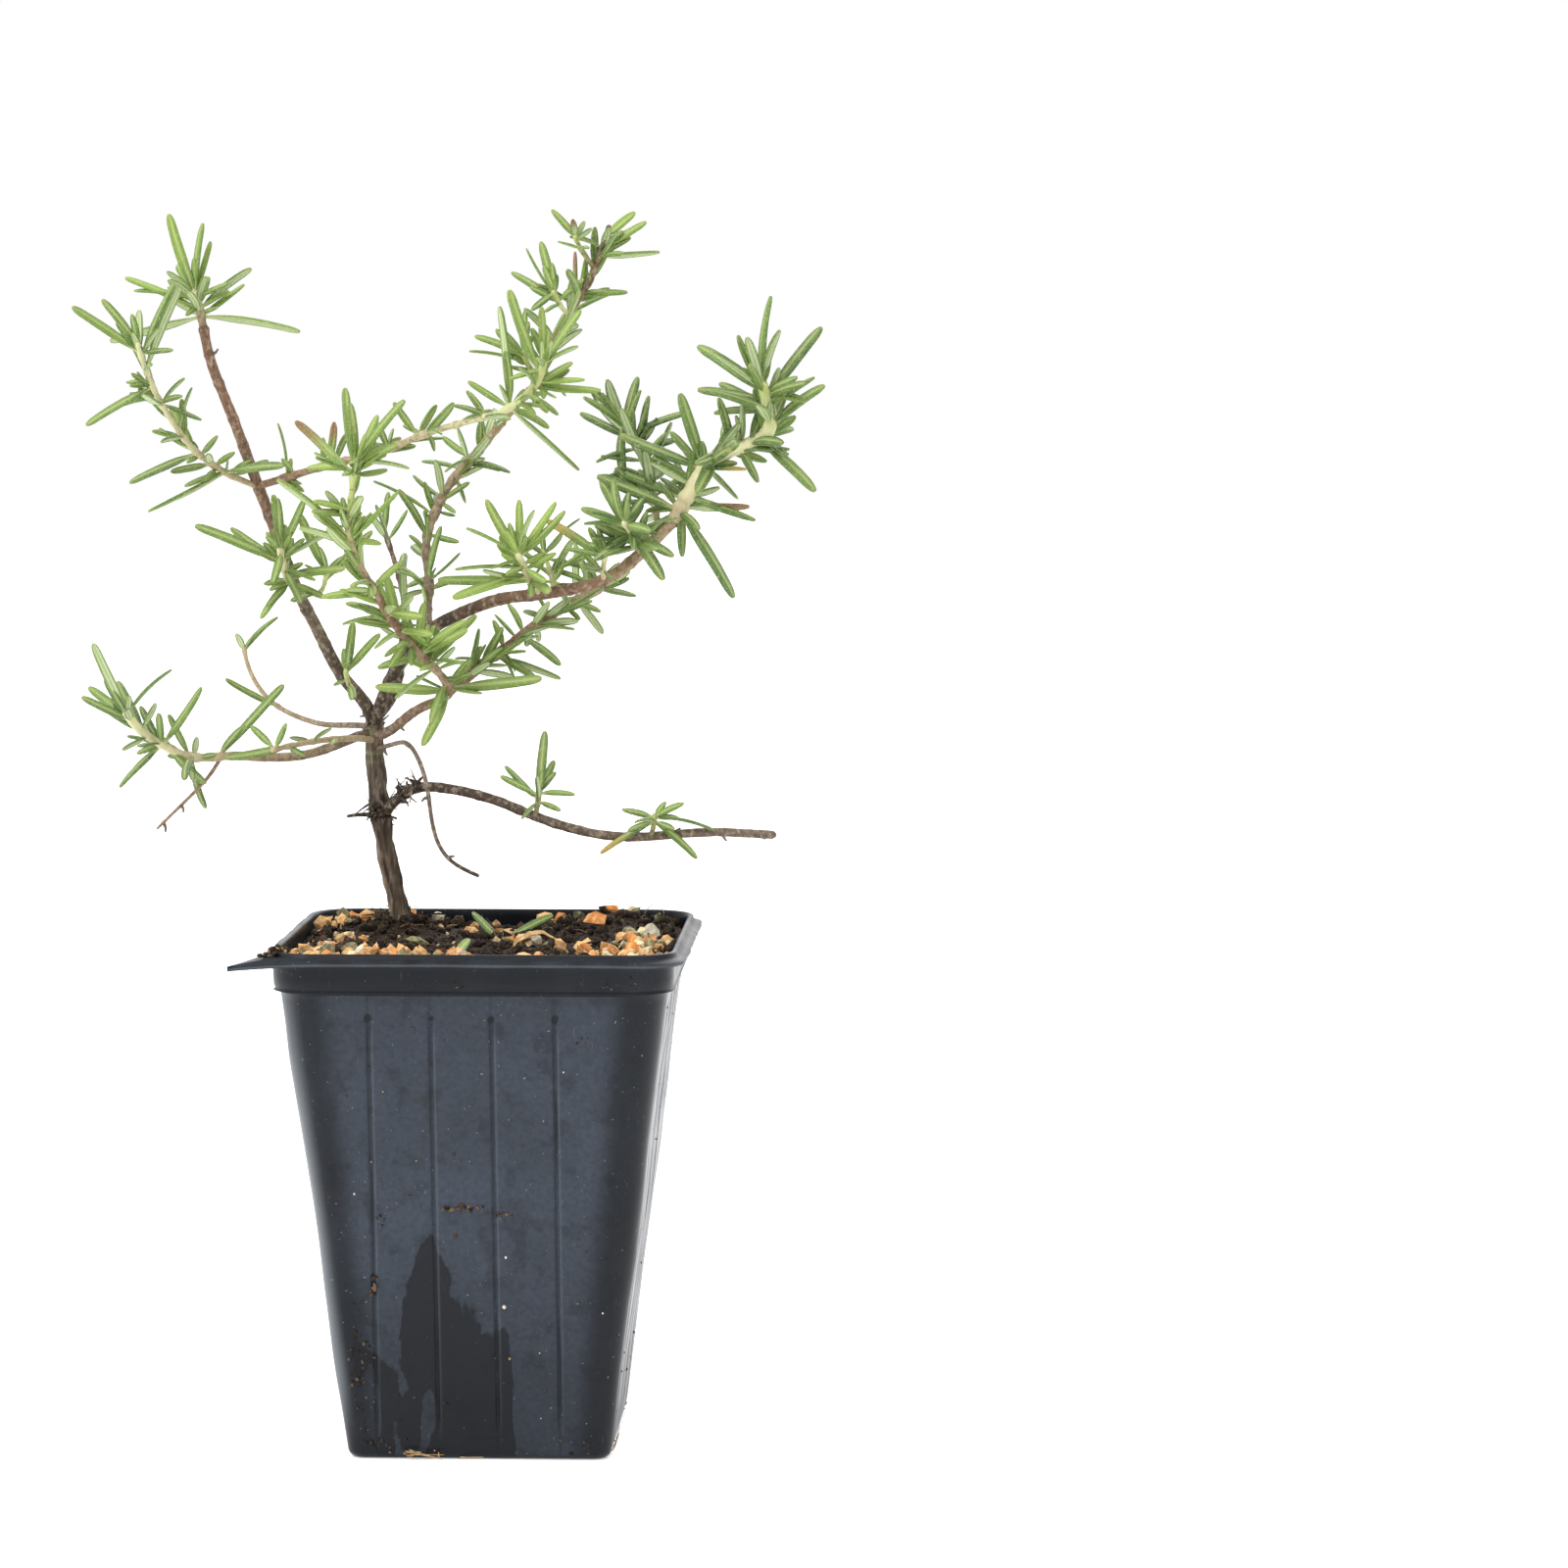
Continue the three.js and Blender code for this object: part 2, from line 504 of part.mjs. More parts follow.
// True when a ball around the point stays clear of every leaf of the other shoots.
function clearOfLeaves(point, radius, owner) {
  return grownLeaves.every((leaf) => leaf.owner === owner || leaf.points.every((from, i) => (
    i === leaf.points.length - 1
    || toSegment(point, from, leaf.points[i + 1]) > radius + leaf.half + GAP
  )));
}

// ---------------------------------------------------------------- stems

const STEM_SIDES = 6;
const WALK_STEP = 0.25;
const STEM_STEP = 6;

// Points on the rim of a disc across the stem.
function rim(centre, tangent, radius) {
  const across = new THREE.Vector3(0, 0, 1).cross(tangent);
  if (across.length() < 0.1) across.set(1, 0, 0).cross(tangent);
  across.normalize();
  return Array.from({ length: STEM_SIDES }, (_, i) => across.clone()
    .applyAxisAngle(tangent, (i / STEM_SIDES) * Math.PI * 2)
    .multiplyScalar(radius).add(centre));
}

// The part of a route past the last point that touches what has grown.
function freePart(route, radius) {
  const points = walk(route, WALK_STEP);
  const last = points.length - 1;
  const every = Math.round(STEM_STEP / WALK_STEP);
  const touching = points.map((point, i) => {
    const ahead = Math.min(i + every, last);
    const tangent = points[ahead].clone().sub(points[ahead - every > 0 ? ahead - every : 0]).normalize();
    return !rim(point, tangent, radius).every((p) => clearOfStems(p, 0, ''));
  });
  const free = points.slice(touching.lastIndexOf(true) + 1);
  const kept = free.filter((_, i) => i % every === 0 && free.length - i > every / 2);
  return [...kept, free[free.length - 1]];
}

// A closed round tube through the points, its radius given for each share of its length.
function tube(points, radiusAt) {
  const curve = new THREE.CatmullRomCurve3(points, false, 'catmullrom', 0.5);
  const steps = points.length - 1;
  const section = new THREE.Shape().absarc(0, 0, 1, 0, Math.PI * 2);
  const options = { extrudePath: curve, steps, bevelEnabled: false, curveSegments: STEM_SIDES };
  const geometry = new THREE.ExtrudeGeometry(section, options);
  const stations = curve.getSpacedPoints(steps);
  const place = geometry.getAttribute('position');
  const vertex = new THREE.Vector3();
  for (let i = 0; i < place.count; i += 1) {
    vertex.fromBufferAttribute(place, i);
    const misses = stations.map((station) => Math.abs(station.distanceTo(vertex) - 1));
    const nearest = misses.indexOf(Math.min(...misses));
    const centre = stations[nearest];
    vertex.sub(centre).multiplyScalar(radiusAt(nearest / steps)).add(centre);
    place.setXYZ(i, vertex.x, vertex.y, vertex.z);
  }
  return { body: solid(geometry), stations };
}

// A round stem along its free part, thinner towards its end.
function growStem({ name, route, thick }) {
  const radii = thick.map((width) => (width * STEM_SCALE) / 2);
  const radiusAt = (share) => THREE.MathUtils.lerp(radii[0], radii[1], share);
  const points = freePart(route, radii[0]);
  const { body, stations } = tube(points, radiusAt);
  const last = stations.length - 1;
  grownStems.push({ owner: name, points: stations, radii: stations.map((_, i) => radiusAt(i / last)) });
  const line = new THREE.CurvePath();
  for (let i = 0; i < last; i += 1) line.add(new THREE.LineCurve3(stations[i], stations[i + 1]));
  return { body, points, line, radiusAt };
}

// ---------------------------------------------------------------- leaves

const LEAF_TILTS = [0, 12, -12, 24, -24, 36, -36, 48, -48, 60, -60, 72, -72];
const LEAF_SHORTENINGS = [1, 0.75, 0.5, 0.35];
const LEAF_SAMPLES = 8;
const SHOOT_SEED = 100; // each shoot draws its own hundred chances: by leaf, then by side, size and bend
const SIDE_SEED = 50;
const SIZE_SEED = 70;
const BEND_SEED = 90;
const FIRST_LEAF = 1.2; // a shoot's lowest leaves sit this far above its foot
const LAST_LEAF = 0.6; // and its highest this far below its tip

// Half width along the leaf: pointed at its foot, parallel edged, rounded at its tip.
function leafHalf(share) {
  const half = LEAF_WIDTH / 2;
  if (share < LEAF_BASE) return (half * share) / LEAF_BASE;
  if (share < LEAF_TAPER) return half;
  return (half * (1 - share)) / (1 - LEAF_TAPER);
}

// A point on the middle line of a leaf that bends towards its back.
function leafPoint(leaf, share) {
  return leaf.foot.clone()
    .addScaledVector(leaf.heading, leaf.length * share)
    .addScaledVector(leaf.face, -leaf.bend * leaf.length * share * share);
}

function hasRoom(leaf, owner) {
  for (let i = 1; i <= LEAF_SAMPLES; i += 1) {
    const share = i / LEAF_SAMPLES;
    const point = leafPoint(leaf, share);
    const radius = leafHalf(share * 0.99);
    if (!clearOfStems(point, radius, owner) || !clearOfLeaves(point, radius, owner)) return false;
  }
  return true;
}

// Turns a leaf towards the front or the back until it has room; a crowded leaf stays short.
function findRoom({ foot, tangent, inset, heading }, length, bend, owner) {
  for (const shorter of LEAF_SHORTENINGS) {
    for (const tilt of LEAF_TILTS) {
      const angle = THREE.MathUtils.degToRad(tilt);
      const turned = heading.clone().multiplyScalar(Math.cos(angle));
      turned.y += Math.sin(angle);
      turned.normalize();
      const face = tangent.clone().addScaledVector(turned, -tangent.dot(turned));
      if (face.length() > 0.05) {
        face.normalize();
        const start = foot.clone().addScaledVector(turned, -inset);
        const leaf = { foot: start, heading: turned, face, length: length * shorter + inset, bend };
        if (hasRoom(leaf, owner)) return leaf;
      }
    }
  }
  return null;
}

function leafSolid(leaf) {
  const half = LEAF_WIDTH / 2;
  const profile = [[0, 0], [half, LEAF_BASE], [half, LEAF_TAPER], [0, 1]];
  const geometry = new THREE.LatheGeometry(profile.map(([x, y]) => new THREE.Vector2(x, y)), 3);
  const across = leaf.heading.clone().cross(leaf.face);
  const place = geometry.getAttribute('position');
  for (let i = 0; i < place.count; i += 1) {
    const point = leafPoint(leaf, place.getY(i));
    point.addScaledVector(across, place.getX(i));
    point.addScaledVector(leaf.face, (place.getZ(i) * LEAF_THICK) / LEAF_WIDTH);
    place.setXYZ(i, point.x, point.y, point.z);
  }
  return solid(geometry);
}

// The hand placed leaves of a shoot and those that grow to the front and the back.
function leavesOf(shoot, stem, seed) {
  const length = stem.line.getLength();
  const at = (share) => {
    const place = THREE.MathUtils.clamp(share * length, FIRST_LEAF, length - LAST_LEAF) / length;
    const inset = stem.radiusAt(place) * LEAF_INSET;
    return { foot: stem.line.getPointAt(place), tangent: stem.line.getTangentAt(place), inset };
  };
  const wanted = shoot.leaves.map(([share, clock, size], i) => {
    const angle = THREE.MathUtils.degToRad(clock);
    const depth = THREE.MathUtils.degToRad((chance(seed + i) - 0.5) * LEAF_DEPTH_SPREAD);
    const heading = new THREE.Vector3(Math.sin(angle), 0, Math.cos(angle)).multiplyScalar(Math.cos(depth));
    heading.y = Math.sin(depth);
    return { ...at(share), heading, length: size };
  });
  for (let i = 0; i < shoot.away; i += 1) {
    const share = AWAY_FIRST + ((1 - AWAY_FIRST) * (i + 0.5)) / shoot.away;
    const { foot, tangent, inset } = at(share);
    const side = new THREE.Vector3(chance(seed + SIDE_SEED + i) - 0.5, i % 2 ? 1 : -1, 0);
    side.addScaledVector(tangent, -side.dot(tangent)).normalize();
    const heading = tangent.clone().multiplyScalar(AWAY_LEAN).add(side).normalize();
    const size = THREE.MathUtils.lerp(AWAY_SHORTEST, AWAY_LONGEST, chance(seed + SIZE_SEED + i));
    wanted.push({ foot, tangent, inset, heading, length: size });
  }
  return wanted;
}

function growLeaves(shoot, stem, seed) {
  let body = stem.body;
  leavesOf(shoot, stem, seed).forEach((want, i) => {
    const bend = (chance(seed + BEND_SEED + i) - LEAF_BEND_FORWARDS) * LEAF_BEND_SPREAD;
    const length = want.length * LEAF_SCALE;
    const leaf = findRoom(want, length, bend, shoot.name);
    if (leaf) {
      const points = [0, 0.35, 0.7, 1].map((share) => leafPoint(leaf, share));
      grownLeaves.push({ owner: shoot.name, points, half: LEAF_WIDTH / 2 });
      body = body.add(leafSolid(leaf));
    }
  });
  return body;
}

// ---------------------------------------------------------------- soil

const SHOULDER = Math.min(BODY_TOP, SOIL_TOP) - 1; // the soil's sides are upright above this
const SOIL_HALF = bodyHalf(SHOULDER) - WALL - GAP;

// [x, y, radius, rise] of the low mounds; all but the rise are shares of the soil's half width.
const MOUNDS = [
  [-0.56, 0.5, 0.4, 2.6],
  [0.62, 0.62, 0.36, 3.2],
  [-0.68, -0.52, 0.3, 1.2],
  [0.42, -0.58, 0.36, 1],
];

function soilSolid(trunkCut) {
  const bottom = FLOOR + GAP;
  let soil = loft([
    [BASE_HALF - FOOT_FILLET - WALL - GAP, bottom],
    [bodyHalf(FOOT_FILLET) - WALL - GAP, FOOT_FILLET + bottom],
    [SOIL_HALF, SHOULDER],
    [SOIL_HALF, SOIL_TOP],
  ]);
  const room = loft([[SOIL_HALF, SHOULDER], [SOIL_HALF, POT_HEIGHT * 2]]);
  for (const [x, y, radius, rise] of MOUNDS) {
    const mound = new THREE.SphereGeometry(1, 12, 6);
    mound.rotateX(Math.PI / 2);
    mound.scale(radius * SOIL_HALF, radius * SOIL_HALF, rise * 2);
    mound.translate(x * SOIL_HALF, y * SOIL_HALF, SOIL_TOP - rise);
    soil = soil.add(solid(mound).intersect(room));
  }
  return soil.subtract(trunkCut);
}

// ---------------------------------------------------------------- loose pieces on the soil

const CHIP_SHAPE = [1, 0.75, 0.6]; // width, depth and height of a chip as shares of its size

// [x, y, size, turn] of the larger chips of grit: places are shares of the soil's half width, and
// the turn is in degrees.
const CHIPS = [
  [-0.86, -0.82, 5, 10], [-0.66, -0.79, 4, 60], [-0.37, -0.84, 5, 30], [-0.1, -0.86, 4, 80],
  [0.26, -0.82, 4, 20], [0.62, -0.84, 5, 50], [0.86, -0.7, 4, 70], [-0.86, -0.36, 5, 15],
  [-0.8, 0.12, 4, 40], [-0.84, 0.8, 5, 65], [0.2, 0.06, 4, 25], [0.52, -0.1, 5, 55],
  [0.84, 0.06, 4, 35], [0.86, 0.4, 5, 75],
];

// [name, x, y, height above the soil, clock angle seen from above, tilt up, length] of fallen
// leaves: places are shares of the soil's half width.
const FALLEN = [
  ['fallen_leaf_1', -0.06, 0.36, 1.8, -60, 30, 9],
  ['fallen_leaf_2', 0.22, 0.36, 1.8, 70, 26, 10],
  ['fallen_leaf_3', -0.1, -0.52, 1.4, 20, 14, 9],
];

const CURL_RADIUS = 6;
const CURL_WIDTH = 3;
const CURL_END = 0.45; // angle above the soil at which the strip ends
const CURL_TURN = 0.3; // and the angle it is turned by, seen from above
const CURL_PLACE = [0.3, -0.5]; // shares of the soil's half width
const CURL_SINK = 0.4; // how far its two ends stand in the soil
const ENDS_GROW = 1.5; // sockets grow more at their ends than at their sides

function chipGeometry([x, y, size, turn], grow) {
  const [wide, deep, high] = CHIP_SHAPE.map((share) => size * share + grow * 2);
  const geometry = new THREE.IcosahedronGeometry(0.5, 0);
  geometry.scale(wide, deep, high);
  geometry.rotateZ(THREE.MathUtils.degToRad(turn));
  geometry.translate(x * SOIL_HALF, y * SOIL_HALF, SOIL_TOP + size * 0.1);
  return geometry;
}

function fallenGeometry([, x, y, rise, clock, tilt, length], grow) {
  const geometry = new THREE.IcosahedronGeometry(0.5, 0);
  geometry.scale(LEAF_WIDTH + grow * 2, length + grow * 2, LEAF_THICK + grow * 2);
  geometry.rotateX(THREE.MathUtils.degToRad(tilt));
  geometry.rotateZ(THREE.MathUtils.degToRad(-clock));
  geometry.translate(x * SOIL_HALF, y * SOIL_HALF, SOIL_TOP + rise);
  return geometry;
}

// A curled dry leaf: a thin bent strip that stands on its two ends.
function curledLeaf(grow) {
  const inner = CURL_RADIUS - LEAF_THICK - grow;
  const outer = CURL_RADIUS + grow;
  const from = CURL_END - (grow * ENDS_GROW) / CURL_RADIUS;
  const strip = new THREE.Shape();
  strip.absarc(0, 0, outer, from, Math.PI - from, false);
  strip.absarc(0, 0, inner, Math.PI - from, from, true);
  const options = { depth: CURL_WIDTH + grow * 2, bevelEnabled: false, curveSegments: 6 };
  const geometry = new THREE.ExtrudeGeometry(strip, options);
  geometry.rotateX(Math.PI / 2);
  geometry.translate(0, grow, -CURL_RADIUS * Math.sin(CURL_END));
  geometry.rotateZ(CURL_TURN);
  geometry.translate(CURL_PLACE[0] * SOIL_HALF, CURL_PLACE[1] * SOIL_HALF, SOIL_TOP - CURL_SINK);
  return geometry;
}

// ---------------------------------------------------------------- assembly

addNode('pot', geometryOf(potSolid()), materials.pot);

// The trunk goes down into the soil, in a socket of its own shape with a little more room.
const [footX, footY] = TRUNK.route[0];
const buried = [footX + ROOT_LEAN, footY + ROOT_LEAN, -TRUNK_IN_SOIL];
const trunkStem = growStem({ ...TRUNK, route: [buried, ...TRUNK.route] });
addNode('trunk', geometryOf(trunkStem.body), materials.bark);

const belowTrunk = fromCollar(buried).add(new THREE.Vector3(0, 0, -GAP * ENDS_GROW));
const roomyRadius = (share) => trunkStem.radiusAt(share) + GAP * ENDS_GROW;
const socket = tube([belowTrunk, ...trunkStem.points.slice(1)], roomyRadius).body;
let soil = soilSolid(socket);

const loose = [
  ...CHIPS.map((chip, i) => [`grit_${String(i + 1).padStart(2, '0')}`, (grow) => chipGeometry(chip, grow),
    materials.grit]),
  ...FALLEN.map((leaf) => [leaf[0], (grow) => fallenGeometry(leaf, grow), materials.leaf]),
  ['curled_dry_leaf', curledLeaf, materials.dryLeaf],
];
for (const [name, shape, material] of loose) {
  soil = soil.subtract(solid(shape(GAP)));
  addNode(name, geometryOf(solid(shape(0))), material);
}
addNode('root_ball', geometryOf(soil), materials.soil);

for (const stem of BARE_STEMS) addNode(stem.name, geometryOf(growStem(stem).body), materials.bark);

const shootStems = SHOOTS.map(growStem);
SHOOTS.forEach((shoot, i) => {
  const seed = (i + 1) * SHOOT_SEED;
  addNode(shoot.name, geometryOf(growLeaves(shoot, shootStems[i], seed)), materials.leaf);
});

export default plant;
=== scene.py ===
import math
import random

import bmesh
import bpy
from mathutils import Matrix, Vector, noise


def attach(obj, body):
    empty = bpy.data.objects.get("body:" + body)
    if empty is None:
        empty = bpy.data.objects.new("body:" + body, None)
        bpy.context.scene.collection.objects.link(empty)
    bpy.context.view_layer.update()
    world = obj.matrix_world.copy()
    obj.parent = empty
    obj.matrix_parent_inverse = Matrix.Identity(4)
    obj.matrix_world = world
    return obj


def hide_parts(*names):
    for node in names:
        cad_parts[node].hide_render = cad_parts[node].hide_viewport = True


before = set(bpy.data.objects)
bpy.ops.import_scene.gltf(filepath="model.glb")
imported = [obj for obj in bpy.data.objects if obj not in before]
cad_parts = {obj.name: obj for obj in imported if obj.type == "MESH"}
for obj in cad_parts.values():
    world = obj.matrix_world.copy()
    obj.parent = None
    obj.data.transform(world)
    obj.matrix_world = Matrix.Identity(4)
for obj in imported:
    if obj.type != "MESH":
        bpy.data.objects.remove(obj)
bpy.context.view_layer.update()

# A young rosemary in a square black nursery pot. Lists and sizes are in millimetres, as in the
# CAD model, and become metres when a mesh is built.
MM = 0.001

# ---------------------------------------------------------------- sizes, as in the CAD model

POT_HEIGHT = 110.6
BASE_HALF = 28.2
BODY_TOP_HALF = 41.0
COLLAR_HALF = 42.3
FLANGE_HALF = 45.0
COLLAR_LOW = 102.8
BODY_TOP = 101.7
FLANGE_LOW = 108.2
WALL = 0.8
CORNER_TOP = 0.22  # corner radius as a share of the half width, at the top and at the base
CORNER_BASE = 0.15
GROOVE_PLACES = (-21.6, -8.5, 4.3, 17.6)
TAB_TIP = (-50.4, -46.2)
TAB_FEET = 33.0
SOIL_TOP = 107.4
ROOT_COLLAR = 105.0
SOIL_HALF = 41.4
CHIP_SPAN = 39.8  # what the chips' places are shares of
DRAIN_PLACE = 16.0
DRAIN_RADIUS = 1.8

# ---------------------------------------------------------------- the plant, as in the CAD model
#
# A route is a few points along a stem's middle, their heights measured from the root collar. thick
# is the stem's width at both ends and tones are its bark colours from foot to tip. A leaf is [how far
# along its shoot, clock angle seen from the front, length]. away is how many more leaves grow towards
# the front and the back, and fill is [how many, shortest, longest] of the small leaves between them.
# bright says how light the leaves are and wide how broad. turning gives the colour of the ends of the
# leaves that turn, by their number in the list.

TRUNK = {
  "name": "trunk", "thick": [5.6, 4.4],
  "route": [[-21, 19, 3], [-22, 18, 12], [-24, 17, 20], [-25, 16, 30], [-26, 15, 40], [-26, 14, 50]],
}

BARE_STEMS = [
  {
    "name": "left_stem", "thick": [3.1, 2.3],
    "tones": ["dark_bark", "grey_bark", "red_bark", "red_bark"],
    "route": [[-26, 14, 49], [-27, 13, 54], [-33, 12, 60], [-38, 10, 71], [-42, 8, 79], [-46, 6, 91],
      [-50, 3, 103], [-55, 0, 118], [-59, -3, 129], [-60, -5, 136]],
  },
  {
    "name": "right_stem", "thick": [3.0, 2.7],
    "tones": ["dark_bark", "dark_bark", "red_bark", "tan_bark"],
    "route": [[-26, 14, 49], [-24, 10, 55], [-22, 10, 60], [-18, 8, 66], [-13, 6, 71], [-7, 4, 74],
      [3, 0, 78], [12, -3, 79], [26, -6, 82], [34, -8, 88], [41, -8, 95]],
  },
  {
    "name": "low_right_stem", "thick": [2.4, 2.0],
    "tones": ["dark_bark", "dark_bark", "grey_bark", "grey_bark"],
    "route": [[-25, 16, 29], [-21, 9, 33], [-18, 6, 36], [-12, 2, 37], [1, -4, 35], [12, -8, 31],
      [23, -10, 28], [33, -9, 27], [48, -6, 28], [62, -2, 27]],
  },
  {
    "name": "front_fork_stem", "thick": [2.4, 2.1],
    "tones": ["grey_bark", "red_bark"],
    "route": [[-26, 14, 47], [-22, 9, 48], [-19, 6, 51], [-15, 2, 54], [-10, -1, 56]],
  },
  {
    "name": "low_left_stem", "thick": [2.3, 2.0],
    "tones": ["grey_bark", "tan_bark"],
    "route": [[-26, 14, 48], [-30, 12, 47], [-37, 8, 44], [-44, 3, 43], [-55, -4, 44]],
  },
  {
    "name": "dry_hanging_twig", "thick": [1.1, 0.9],
    "tones": ["grey_bark", "grey_bark", "dark_bark"],
    "route": [[-26, 14, 44], [-20, 6, 46], [-17, 1, 47], [-13, -4, 40], [-12, -6, 35], [-11, -8, 28],
      [-8, -10, 22], [-1, -12, 19]],
  },
  {
    "name": "dry_left_twig", "thick": [0.9, 0.7],
    "tones": ["dry", "dry"],
    "route": [[-57, -5, 44], [-59, -6, 40], [-63, -8, 36], [-70, -12, 29]],
  },
  {
    "name": "trunk_spur", "thick": [1.3, 0.8],
    "tones": ["dark_bark", "dark_bark"],
    "route": [[-25, 16, 29], [-28, 12, 30], [-31, 6, 30]],
  },
]

